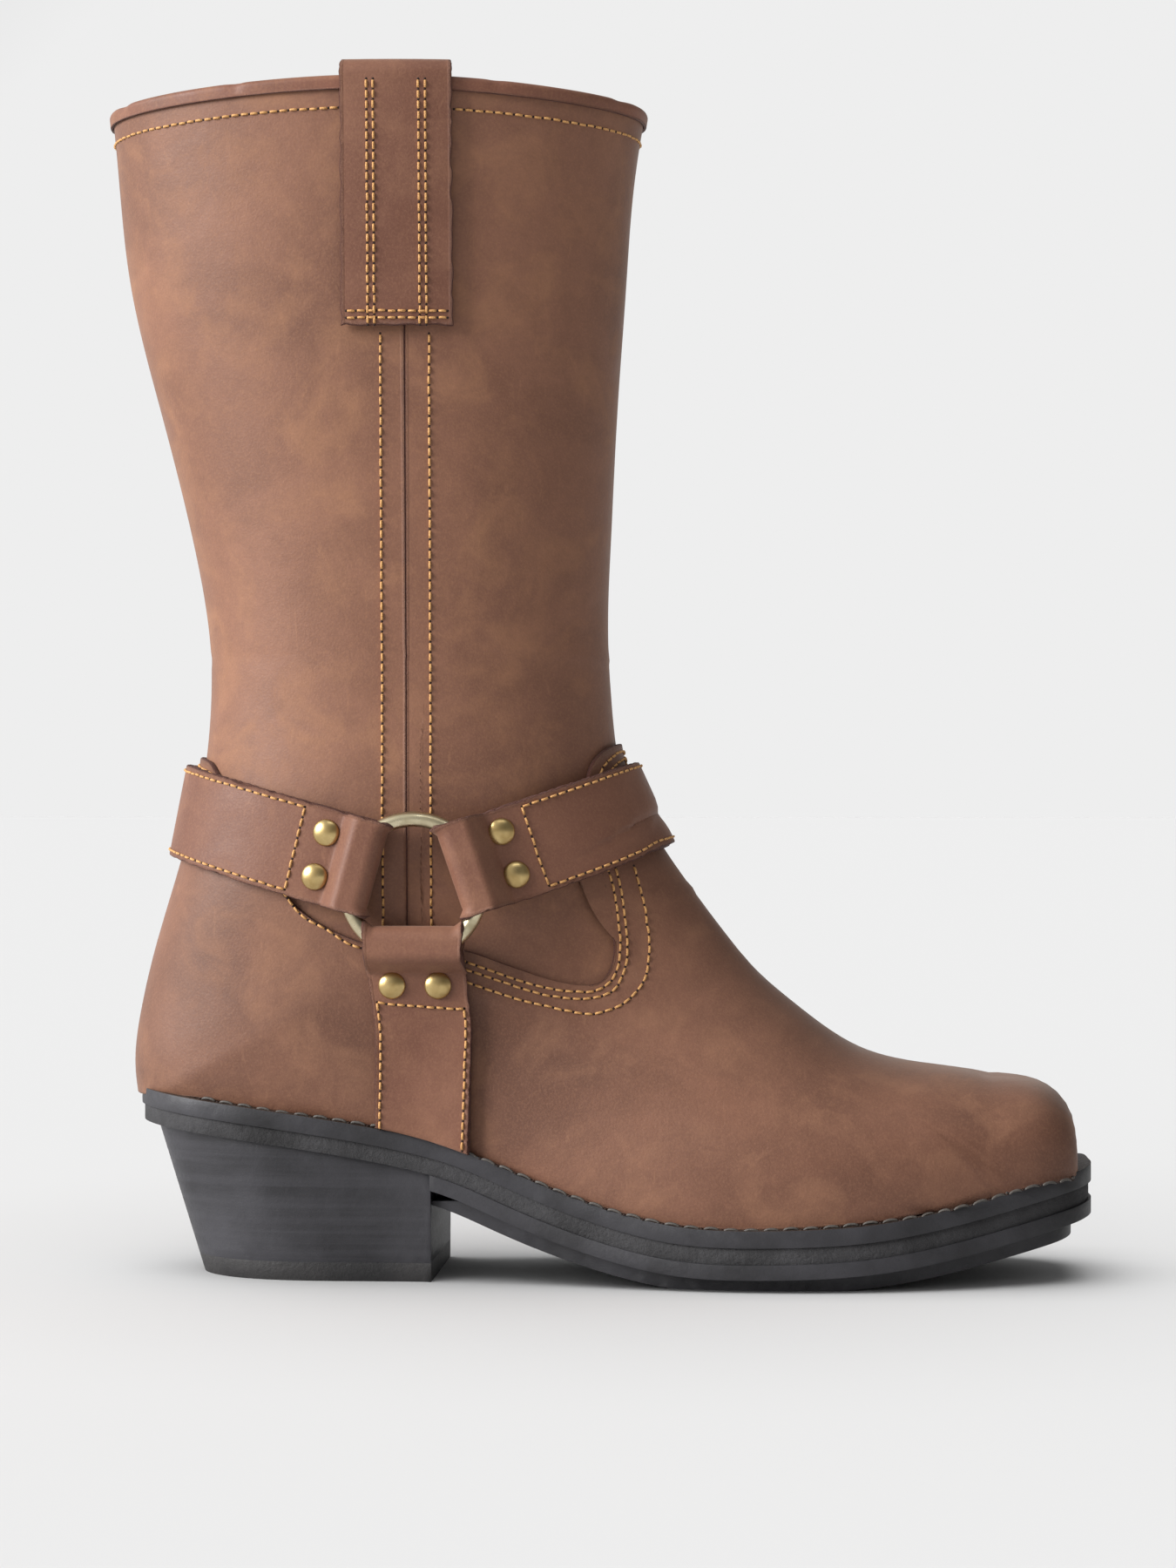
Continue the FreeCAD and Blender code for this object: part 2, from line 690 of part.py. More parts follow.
# ---------------------------------------------------------------- assembly
def build():
    nodes = {}
    nodes["shaft_front_panel"], nodes["shaft_back_panel"] = shaft_panels()
    nodes["vamp"] = vamp()
    nodes["heel_counter_cover"] = counter_cover()
    nodes["shaft_lining"] = shaft_lining()
    nodes["foot_lining"] = foot_lining()
    nodes["toe_puff"] = toe_puff()
    nodes["heel_stiffener"] = heel_stiffener()
    nodes["side_seam_tapes"] = seam_tapes()
    nodes["top_binding"] = top_binding()
    nodes["pull_strap_outer"] = pull_strap(-1)
    nodes["pull_strap_inner"] = pull_strap(1)

    nails = heel_nails(0)
    nodes["insole_board"] = insole_board().cut(nails)
    nodes["sock_liner"] = sock_liner()
    nodes["shank"] = shank_space(0)
    nodes["welt"] = welt()
    nodes["bottom_filler"] = bottom_filler().cut(nails)
    nodes["midsole"] = midsole().cut(nails)
    nodes["outsole"] = outsole()
    depth = welt_thickness + midsole_thickness
    below = sole_band(depth, 120.0)
    stack = heel_stack().common(below)
    nodes["heel_block"] = stack.common(box(-50, FAR, -reach, reach, lift_thickness, 90)).cut(nails)
    nodes["heel_top_lift"] = stack.common(box(-50, FAR, -reach, reach, -1, lift_thickness))
    nodes["heel_nails"] = nails

    ends = []
    for name, angle in (("front", front_strap_angle), ("rear", rear_strap_angle),
                        ("stirrup", stirrup_angle)):
        for side in (-1, 1):
            ends += rivet_axes(angle, strap_rise[name], side)
    nodes["front_ankle_strap"] = ankle_strap(front_strap_angle, strap_rise["front"])
    nodes["front_strap_backing"] = strap_backing(front_strap_angle, strap_rise["front"])
    nodes["rear_ankle_strap"] = ankle_strap(rear_strap_angle, strap_rise["rear"])
    nodes["rear_strap_backing"] = strap_backing(rear_strap_angle, strap_rise["rear"])
    nodes["stirrup_strap_outer"] = stirrup_strap(-1)
    nodes["stirrup_strap_inner"] = stirrup_strap(1)
    nodes["rivets"] = rivets(ends)
    nodes["rivet_burrs"] = burrs(ends)
    nodes["harness_ring_outer"] = torus(-1, 0)
    nodes["harness_ring_inner"] = torus(1, 0)
    return nodes


os.makedirs("parts", exist_ok=True)
pieces = build()
whole = Part.makeCompound(list(pieces.values())).optimalBoundingBox(False, False)
to_origin = V(-(whole.XMin + whole.XMax) / 2, -(whole.YMin + whole.YMax) / 2, -whole.ZMin)
for name, shape in pieces.items():
    moved = shape.copy()
    moved.translate(to_origin)
    moved.exportStep("parts/" + name + ".step")
    print(name, "solids", len(moved.Solids), "valid", moved.isValid(), "volume", round(moved.Volume))
print("moved by", to_origin, "box", whole)
print("ring centre", V(ring_x, -ring_plane(), ring_z) + to_origin)
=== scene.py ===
import math

import bpy
import numpy as np
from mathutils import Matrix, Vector
from mathutils.bvhtree import BVHTree


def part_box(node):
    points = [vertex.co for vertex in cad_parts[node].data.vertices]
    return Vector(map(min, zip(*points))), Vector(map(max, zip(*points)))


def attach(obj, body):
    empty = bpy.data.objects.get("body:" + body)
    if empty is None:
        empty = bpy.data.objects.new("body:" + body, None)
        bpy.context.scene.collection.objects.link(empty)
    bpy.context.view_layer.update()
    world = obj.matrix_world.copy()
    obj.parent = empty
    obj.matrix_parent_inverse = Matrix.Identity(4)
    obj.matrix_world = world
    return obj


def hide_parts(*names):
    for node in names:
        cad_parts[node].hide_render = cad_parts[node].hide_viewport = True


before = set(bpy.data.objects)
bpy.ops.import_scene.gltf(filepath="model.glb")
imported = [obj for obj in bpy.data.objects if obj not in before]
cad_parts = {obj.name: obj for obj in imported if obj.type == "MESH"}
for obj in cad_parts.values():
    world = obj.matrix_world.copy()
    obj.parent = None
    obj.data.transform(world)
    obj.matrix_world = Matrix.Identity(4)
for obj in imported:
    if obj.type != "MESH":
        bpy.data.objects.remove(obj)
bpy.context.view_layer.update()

mm = 0.001

# ---------------------------------------------------------------- camera, light and floor
# A long lens stands level with the ankle, a little to the toe side of square, and takes in
# the whole boot. A broad low sun from behind the heel and two long softboxes light the boot, a
# lamp overhead lights the floor alone, and the sky is dim toward the toe and the camera.
stand_off = 1.100
eye_height = 0.1473
aim_x = -0.0025
picture_height_there = 0.4755

camera_data = bpy.data.cameras.new("camera")
camera_data.sensor_fit = "VERTICAL"
camera_data.sensor_height = 36.0
camera_data.lens = camera_data.sensor_height * stand_off / picture_height_there
camera_data.clip_start = 0.05
camera = bpy.data.objects.new("camera", camera_data)
bpy.context.scene.collection.objects.link(camera)
swing = math.radians(3.4)
camera.location = (aim_x + stand_off * math.sin(swing), -stand_off * math.cos(swing), eye_height)
camera.rotation_euler = (math.radians(90), 0, swing)
bpy.context.scene.camera = camera


def link(obj):
    bpy.context.scene.collection.objects.link(obj)
    return obj


def shine_from(name, kind, azimuth, elevation, distance, energy, **settings):
    """A light that looks at the ankle from a compass bearing round the boot."""
    data = bpy.data.lights.new(name, kind)
    data.energy = energy
    for key, value in settings.items():
        setattr(data, key, value)
    light = link(bpy.data.objects.new(name, data))
    turn, tilt = math.radians(azimuth), math.radians(elevation)
    toward = Vector((math.sin(turn) * math.cos(tilt), -math.cos(turn) * math.cos(tilt), math.sin(tilt)))
    light.location = Vector((0, 0, 0.15)) + toward * distance
    light.rotation_euler = toward.to_track_quat("Z", "Y").to_euler()
    return light


lamps = [shine_from("window", "SUN", -64, 24, 3.0, 5.0, angle=math.radians(34)),
         shine_from("strip_left", "AREA", -75, 15, 1.3, 1.5, shape="RECTANGLE", size=0.25, size_y=1.2),
         shine_from("strip_top", "AREA", 20, 60, 1.2, 1.5, shape="RECTANGLE", size=0.9, size_y=0.3)]

world = bpy.data.worlds.new("studio")
bpy.context.scene.world = world
world.use_nodes = True
sky_nodes, sky_links = world.node_tree.nodes, world.node_tree.links
sky = sky_nodes["Background"]
sky.inputs["Color"].default_value = (0.855, 0.855, 0.855, 1)
bearing = sky_nodes.new("ShaderNodeSeparateXYZ")
sky_links.new(sky_nodes.new("ShaderNodeTexCoord").outputs["Generated"], bearing.inputs[0])
brighter = sky_nodes.new("ShaderNodeMath")
brighter.operation = "MAXIMUM"
dimmer_to_the_toe = ("X", -0.75, 0.35, 1.0, 0.22)
full_behind_the_boot = ("Y", 0.80, 0.96, 0.0, 1.0)
for socket, (axis, *numbers) in zip(brighter.inputs, (dimmer_to_the_toe, full_behind_the_boot)):
    fade = sky_nodes.new("ShaderNodeMapRange")
    sky_links.new(bearing.outputs[axis], fade.inputs["Value"])
    for name, number in zip(("From Min", "From Max", "To Min", "To Max"), numbers):
        fade.inputs[name].default_value = number
    sky_links.new(fade.outputs[0], socket)
sky_links.new(brighter.outputs[0], sky.inputs["Strength"])
bpy.context.scene.view_settings.view_transform = "Standard"


def new_material(name):
    """A material with its principled shader, ready for its nodes."""
    material = bpy.data.materials.new(name)
    material.use_nodes = True
    return material, material.node_tree, material.node_tree.nodes["Principled BSDF"]


floor_paint, tree, shader = new_material("studio_floor")
shader.inputs["Base Color"].default_value = (0.70, 0.70, 0.70, 1)
shader.inputs["Roughness"].default_value = 1.0
shader.inputs["Specular IOR Level"].default_value = 0.0
floor_size = 30.0
floor_mesh = bpy.data.meshes.new("floor")
half = floor_size / 2
floor_mesh.from_pydata([(-half, -half, 0), (half, -half, 0), (half, half, 0), (-half, half, 0)], [],
                       [(0, 1, 2, 3)])
floor_mesh.materials.append(floor_paint)
floor = link(bpy.data.objects.new("floor", floor_mesh))
overhead = shine_from("overhead", "SUN", -64, 78, 3.0, 2.5, angle=math.radians(70))
for some_lamps, state in ((lamps, "EXCLUDE"), ([overhead], "INCLUDE")):
    lit = bpy.data.collections.new("floor_" + state.lower())
    lit.objects.link(floor)
    lit.collection_objects[0].light_linking.link_state = state
    for lamp in some_lamps:
        lamp.light_linking.receiver_collection = lit

# ---------------------------------------------------------------- the last
# Boot leather is cut flat and drawn over a last. Here the last is one smooth skin, read from
# the outside of the shaft panels and of the lining, puff and stiffener under the foot leather.
# A place on it is (slice, turn): slices run from rim to toe, turns run round from the front.
welt_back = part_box("welt")[0][0]
lateral, medial = -1, 1


def bench(x, z):
    """Side-view millimetres from the back of the welt, as metres of the frame."""
    return welt_back + x * mm, z * mm


def tree_of(*names):
    points, faces = [], []
    for name in names:
        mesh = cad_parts[name].data
        start = len(points)
        points += [v.co.copy() for v in mesh.vertices]
        faces += [[start + i for i in p.vertices] for p in mesh.polygons]
    return BVHTree.FromPolygons(points, faces)


hinge_x, hinge_z = bench(235, 185)      # slices of ankle and instep fan about this point
toe_x, toe_z = bench(258, 22)           # and those of the toe cap about this one
top_z = 0.362
slice_step = 2.0 * mm
shaft_slices = int((top_z - hinge_z) / slice_step)
fan_slices = 150
straight_slices = 12
toe_slices = 50
fan_angles = np.radians([0, 20, 30, 45, 60, 90])
fan_reach = np.array([155, 170, 180, 150, 146, 145]) * mm
toe_sweep = math.radians(95)


def slice_frame(index):
    """Middle point and forward direction of a slice."""
    if index <= shaft_slices:
        z = top_z - (top_z - hinge_z) * index / shaft_slices
        middle_x = hinge_x - fan_reach[0] - 8 * mm * (z - hinge_z) / (top_z - hinge_z)
        return np.array((middle_x, 0, z)), np.array((1.0, 0, 0))
    index -= shaft_slices
    if index <= fan_slices:
        angle = math.pi / 2 * index / fan_slices
        reach = np.interp(angle, fan_angles, fan_reach)
        forward = np.array((math.cos(angle), 0, math.sin(angle)))
        return np.array((hinge_x, 0, hinge_z)) - forward * reach, forward
    index -= fan_slices
    start_z = hinge_z - fan_reach[-1]
    if index <= straight_slices:
        share = index / straight_slices
        x = hinge_x + (toe_x - hinge_x) * share
        return np.array((x, 0, start_z + (toe_z - start_z) * share)), np.array((0, 0, 1.0))
    angle = toe_sweep * (index - straight_slices) / toe_slices
    return np.array((toe_x, 0, toe_z)), np.array((math.sin(angle), 0, math.cos(angle)))


def slice_index(x, z):
    """The slice that passes through a side-view point."""
    if z > hinge_z:
        return shaft_slices * (top_z - z) / (top_z - hinge_z)
    if x < hinge_x:
        return shaft_slices + fan_slices * math.atan2(hinge_z - z, hinge_x - x) / (math.pi / 2)
    start = shaft_slices + fan_slices
    if x < toe_x:
        return start + straight_slices * (x - hinge_x) / (toe_x - hinge_x)
    return start + straight_slices + toe_slices * math.atan2(x - toe_x, z - toe_z) / toe_sweep


slices = shaft_slices + fan_slices + straight_slices + toe_slices + 1
turns = 360
turn_angles = np.linspace(-math.pi, math.pi, turns + 1)
skin_tree = tree_of("shaft_front_panel", "shaft_back_panel", "foot_lining", "toe_puff", "heel_stiffener")
reach_out = 0.4
lasted_under = -0.8     # faces that look further down than this are cut edges in the welt seam
reaches = np.full((slices, turns + 1), np.nan)
middles = np.zeros((slices, 3))
forwards = np.zeros((slices, 3))
for row in range(slices):
    middles[row], forwards[row] = slice_frame(row)
    for column, turn in enumerate(turn_angles):
        way = forwards[row] * math.cos(turn) + np.array((0, math.sin(turn), 0))
        start = middles[row] + way * reach_out
        _, facing, _, hit = skin_tree.ray_cast(Vector(start), Vector(-way))
        if hit is not None and reach_out - hit > 3 * mm and facing.z > lasted_under:
            reaches[row, column] = reach_out - hit
front_turn = turns // 2


def moved(field, rows, columns):
    """The field read from cells this far off; round the boot it joins up with itself."""
    body = np.roll(field[:, :-1], -columns, axis=1)
    body = np.concatenate([body, body[:, :1]], axis=1)
    out = np.full_like(body, np.nan)
    if rows >= 0:
        out[:len(body) - rows] = body[rows:]
    else:
        out[-rows:] = body[:rows]
    return out


def carried_on(field, rounds):
    """The readings carried on in a straight line a few cells past their edge."""
    for _ in range(rounds):
        guesses = [2 * moved(field, r, c) - moved(field, 2 * r, 2 * c) for r, c in
                   ((1, 0), (-1, 0), (0, 1), (0, -1))]
        known = ~np.isnan(guesses)
        weights = known * np.array((3, 3, 1, 1))[:, None, None]
        total = (np.where(known, guesses, 0) * weights).sum(axis=0)
        count = weights.sum(axis=0)
        fill = np.isnan(field) & (count > 0)
        field = np.where(fill, total / np.maximum(count, 1), field)
    return field


stiffener_edge = [(-30, 102), (24, 98), (44, 84), (56, 68), (60, 30)]
quarter_edge = [(-30, 141), (14, 139), (27, 122), (45, 102), (70, 91), (95, 89), (128, 79), (146, 79),
                (154, 90), (154, 112), (150, 134), (175, 141)]


def near_edge(x, z, edge, margin):
    """Which side-view places lie within so many millimetres of an edge."""
    near = np.zeros(x.shape, bool)
    for (x0, z0), (x1, z1) in zip(edge, edge[1:]):
        run = np.array((x1 - x0, z1 - z0))
        share = np.clip(((x - x0) * run[0] + (z - z0) * run[1]) / (run @ run), 0, 1)
        near |= np.hypot(x - x0 - share * run[0], z - z0 - share * run[1]) < margin
    return near


beside_stiffener, beside_front_end, beside_panels, beside_instep = 2.2, 3.0, 2.6, 3.6
slip = 0.3 * mm
flattening_rounds, bending_rounds, bending_step = 160, 260, 0.025


def bowed(field):
    """How far the readings round about lie above each one."""
    steps = [moved(field, r, c) - field for r, c in ((1, 0), (-1, 0), (0, 1), (0, -1))]
    return np.nansum(steps, axis=0)


def mended(field):
    """The field with the readings beside the hidden edges of stiffener and panels, where a ray
    may slip between two layers, drawn in from round about with the bend that is there."""
    ways = forwards[:, None, :] * np.cos(turn_angles)[None, :, None]
    points = middles[:, None, :] + field[:, :, None] * ways
    x, z = (points[..., 0] - welt_back) / mm, points[..., 2] / mm
    stray = near_edge(x, z, stiffener_edge[:-1], beside_stiffener)
    stray |= near_edge(x, z, quarter_edge, beside_panels)
    stray |= near_edge(x, z, quarter_edge[-3:], beside_instep)
    padded = np.pad(field, 2, mode="edge")
    stack = [padded[2 + a:2 + a + field.shape[0], 2 + b:2 + b + field.shape[1]]
             for a in (-2, -1, 0, 1, 2) for b in (-2, -1, 0, 1, 2)]
    slipped = np.abs(field - np.nanmedian(stack, axis=0)) > slip
    slipped &= near_edge(x, z, stiffener_edge[-2:], beside_front_end)
    for step in ((1, 0), (-1, 0), (0, 1), (0, -1)):
        slipped = slipped | np.roll(slipped, step, axis=(0, 1))
    stray = (stray | slipped) & ~np.isnan(field)
    held = field.copy()
    for _ in range(flattening_rounds):
        around = np.nanmean([moved(held, 1, 0), moved(held, -1, 0), moved(held, 0, 1), moved(held, 0, -1)],
                            axis=0)
        held = np.where(stray, around, field)
    for _ in range(bending_rounds):
        held = np.where(stray, held - bending_step * bowed(bowed(held)), field)
    return held


with np.errstate(all="ignore"):
    reaches = carried_on(mended(reaches), 8)
for row in range(slices):
    for step in (-1, 1):
        last = reaches[row, front_turn]
        for column in range(front_turn, turns + 1 if step > 0 else -1, step):
            if np.isnan(reaches[row, column]):
                reaches[row, column] = last
            last = reaches[row, column]
for row in range(1, slices):
    if np.isnan(reaches[row]).any():
        reaches[row] = reaches[row - 1]
for row in range(slices - 2, -1, -1):
    if np.isnan(reaches[row]).any():
        reaches[row] = reaches[row + 1]


def softened(field, rounds):
    """The field with its facets ironed out."""
    for _ in range(rounds):
        padded = np.pad(field, 1, mode="edge")
        field = (padded[:-2, 1:-1] + 2 * padded[1:-1, 1:-1] + padded[2:, 1:-1]) / 4
        padded = np.pad(field, 1, mode="edge")
        field = (padded[1:-1, :-2] + 2 * padded[1:-1, 1:-1] + padded[1:-1, 2:]) / 4
    return field


reaches = softened(reaches, 3)
cosines, sines = np.cos(turn_angles), np.sin(turn_angles)
skin = middles[:, None, :] + reaches[:, :, None] * (
    forwards[:, None, :] * cosines[None, :, None] + np.array((0, 1.0, 0)) * sines[None, :, None])

# The toe puff ends at this slice; the skin is carried across its edge in one sweep.
puff_row = shaft_slices + fan_slices
before, after = puff_row - 5, puff_row + 4
gap = np.linalg.norm(skin[after] - skin[before], axis=1, keepdims=True)
leaving, arriving = skin[before] - skin[before - 2], skin[after + 2] - skin[after]
leaving *= gap / np.linalg.norm(leaving, axis=1, keepdims=True)
arriving *= gap / np.linalg.norm(arriving, axis=1, keepdims=True)
for row in range(before + 1, after):
    t = (row - before) / (after - before)
    skin[row] = ((2 * t ** 3 - 3 * t ** 2 + 1) * skin[before] + (t ** 3 - 2 * t ** 2 + t) * leaving
                 + (3 * t ** 2 - 2 * t ** 3) * skin[after] + (t ** 3 - t ** 2) * arriving)


def cubic(share):
    """Catmull-Rom weights of the four readings round a place."""
    a, b, c = share, share ** 2, share ** 3
    return ((-a + 2 * b - c) / 2, (2 - 5 * b + 3 * c) / 2, (a + 4 * b - 3 * c) / 2, (-b + c) / 2)


def skin_points(rows, columns):
    rows = np.clip(np.asarray(rows, float), 0, slices - 1.001)
    columns = np.mod(np.asarray(columns, float), turns)
    row0, column0 = np.floor(rows).astype(int), np.floor(columns).astype(int)
    row_weights, column_weights = cubic(rows - row0), cubic(columns - column0)
    total = 0
    for i in range(4):
        at_row = np.clip(row0 + i - 1, 0, slices - 1)
        for j in range(4):
            at_column = (column0 + j - 1) % turns
            weight = (row_weights[i] * column_weights[j])[..., None]
            total = total + weight * skin[at_row, at_column]
    return total


def unit(vectors):
    return vectors / np.maximum(np.linalg.norm(vectors, axis=-1, keepdims=True), 1e-12)


def on_last(rows, columns, height=0.0):
    """Points a height above the skin, and the outward directions there."""
    rows, columns = np.asarray(rows, float), np.asarray(columns, float)
    down = skin_points(rows + 0.6, columns) - skin_points(rows - 0.6, columns)
    around = skin_points(rows, columns + 0.6) - skin_points(rows, columns - 0.6)
    out = unit(np.cross(down, around))
    return skin_points(rows, columns) + out * np.asarray(height)[..., None], out


def place(x, z, side):
    """(slice, column) of the point of the skin seen at side-view metres x, z."""
    row = min(max(slice_index(x, z), 0), slices - 1.001)
    middle, forward = slice_frame(row)
    wanted = (x - middle[0]) * forward[0] + (z - middle[2]) * forward[2]
    columns = front_turn + side * np.linspace(0, front_turn, 481)
    columns = np.clip(columns, 0, turns - 0.001)
    reach = (skin_points(np.full(481, row), columns) - middle) @ forward
    if wanted >= reach[0]:
        return row, columns[0]
    if wanted <= reach[-1]:
        return row, columns[-1]
    below = np.argmax(reach < wanted)
    share = (reach[below - 1] - wanted) / (reach[below - 1] - reach[below])
    return row, columns[below - 1] + share * (columns[below] - columns[below - 1])


def spline(points, count):
    """A smooth line through given points, evenly walked."""
    points = np.array(points, float)
    if len(points) > 2:
        ends = [2 * points[0] - points[1]], points, [2 * points[-1] - points[-2]]
        knots = np.concatenate(ends)
        line = []
        for k in range(1, len(knots) - 2):
            for share in np.linspace(0, 1, 24, endpoint=False):
                weights = cubic(share)
                line.append(sum(w * knots[k - 1 + i] for i, w in enumerate(weights)))
        points = np.array(line + [points[-1]])
    return evenly(points, count)


def evenly(points, count):
    """The same line, with its points an equal distance apart."""
    gaps = np.linalg.norm(np.diff(points, axis=0), axis=1)
    walked = np.concatenate([[0], np.cumsum(gaps)])
    at = np.linspace(0, walked[-1], count)
    return np.stack([np.interp(at, walked, points[:, k]) for k in range(points.shape[1])], axis=1)


def traced(points, side, count=60):
    """Side-view millimetres, as (slice, column) pairs along a smooth line."""
    line = spline(points, count)
    return np.array([place(*bench(x, z), side) for x, z in line])


filler_tree = tree_of("bottom_filler")
filler_low, filler_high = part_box("bottom_filler")
line_x = np.linspace(filler_low[0] + 3 * mm, filler_high[0] - 3 * mm, 60)
line_z = np.array([filler_tree.ray_cast(Vector((x, 0, 0.2)), Vector((0, 0, -1)))[0].z for x in line_x])
welt_shape = np.polyfit(line_x, line_z, 9)


def welt_height(x):
    """Height of the welt's top, where the upper meets it."""
    x = np.asarray(x)
    slope0, slope1 = np.polyval(np.polyder(welt_shape), [line_x[0], line_x[-1]])
    inside = np.polyval(welt_shape, np.clip(x, line_x[0], line_x[-1]))
    return inside + np.minimum(x - line_x[0], 0) * slope0 + np.maximum(x - line_x[-1], 0) * slope1


def crossing(points):
    """Where a line of points first dips below the welt's top, as a share of its steps."""
    above = points[:, 2] - welt_height(points[:, 0])
    first = int(np.argmax(above < 0))
    return first - 1 + above[first - 1] / (above[first - 1] - above[first])


back_rows = np.linspace(shaft_slices, shaft_slices + fan_slices * 0.6, 200)
back_row = np.interp(crossing(skin_points(back_rows, np.zeros(200))), np.arange(200), back_rows)
toe_rows = np.linspace(shaft_slices + fan_slices, slices - 2, 200)
toe_row = np.interp(crossing(skin_points(toe_rows, np.full(200, front_turn))), np.arange(200), toe_rows)
feather = {}
for side in (lateral, medial):
    columns = np.clip(front_turn + side * np.linspace(0, front_turn, 961), 0, turns - 0.001)
    found = [(back_row, columns[-1])]
    for row in np.arange(math.ceil(back_row + 1), toe_row - 0.5, 1.0):
        step = crossing(skin_points(np.full(961, row), columns))
        found.append((row, np.interp(step, np.arange(961), columns)))
    found.append((toe_row, front_turn))
    feather[side] = np.array(found)


# ---------------------------------------------------------------- shaft panels
# The leg is two panels of oiled cowhide about 1.8 mm thick, front and back. They are closed
# by a butted seam down each side, and their lower edges are hidden under the foot leather.
seam_x = 84.5
leather = 1.8 * mm
rim_curve = spline([(-60, 348), (-9, 349.5), (76.5, 353), (153, 349.5), (210, 348)], 200)


def rim_height(x):
    return np.interp((np.asarray(x) - welt_back) / mm, rim_curve[:, 0], rim_curve[:, 1]) * mm


def row_at_height(z):
    return shaft_slices * (top_z - z) / (top_z - hinge_z)


def rim_rows(columns, drop=0.0):
    """The slices of the rim, or of a line a drop below it, at these columns."""
    rows = np.full(len(columns), 6.0)
    for _ in range(4):
        rows = row_at_height(rim_height(skin_points(rows, columns)[:, 0]) - drop)
    return rows


def in_order(line):
    """A line of (slice, column) pairs with its points evenly spaced on the skin."""
    points = skin_points(line[:, 0], line[:, 1])
    walked = np.concatenate([[0], np.cumsum(np.linalg.norm(np.diff(points, axis=0), axis=1))])
    at = np.linspace(0, walked[-1], len(line))
    return np.stack([np.interp(at, walked, line[:, k]) for k in range(2)], axis=1)


def across_front(half):
    """A line on the outer side, continued over the front to its mirror on the inner side.
    half gives the line for a side, from the side seam to the front."""
    outer, inner = half(lateral), half(medial)
    return np.concatenate([outer[:-1], inner[::-1]])


def across_back(half):
    """The same round the back, from the inner side seam to the outer one."""
    outer, inner = half(lateral), half(medial).copy()
    inner[:, 1] -= turns
    return np.concatenate([inner[:-1], outer[::-1]])


def patch(top, bottom, left, right, rows, columns):
    """A grid of (slice, column) pairs filled in between four edges."""
    def resampled(line, count):
        at = np.linspace(0, len(line) - 1, count)
        return np.stack([np.interp(at, np.arange(len(line)), line[:, k]) for k in range(2)], axis=1)
    top, bottom = resampled(in_order(top), columns), resampled(in_order(bottom), columns)
    left, right = resampled(in_order(left), rows), resampled(in_order(right), rows)
    s = np.linspace(0, 1, rows)[:, None, None]
    t = np.linspace(0, 1, columns)[None, :, None]
    ruled = (1 - s) * top[None] + s * bottom[None] + (1 - t) * left[:, None] + t * right[:, None]
    corners = ((1 - s) * (1 - t) * top[0] + (1 - s) * t * top[-1]
               + s * (1 - t) * bottom[0] + s * t * bottom[-1])
    return ruled - corners


def side_view(points):
    """Points of the frame as side-view millimetres."""
    return (points[..., 0] - welt_back) / mm, points[..., 2] / mm


wobble = np.random.default_rng(12)


def mesh_of(name, points, faces, materials):
    mesh = bpy.data.meshes.new(name)
    mesh.from_pydata([tuple(p) for p in points], [], faces)
    for material in materials:
        mesh.materials.append(material)
    mesh.shade_smooth()
    mesh.validate()
    return mesh


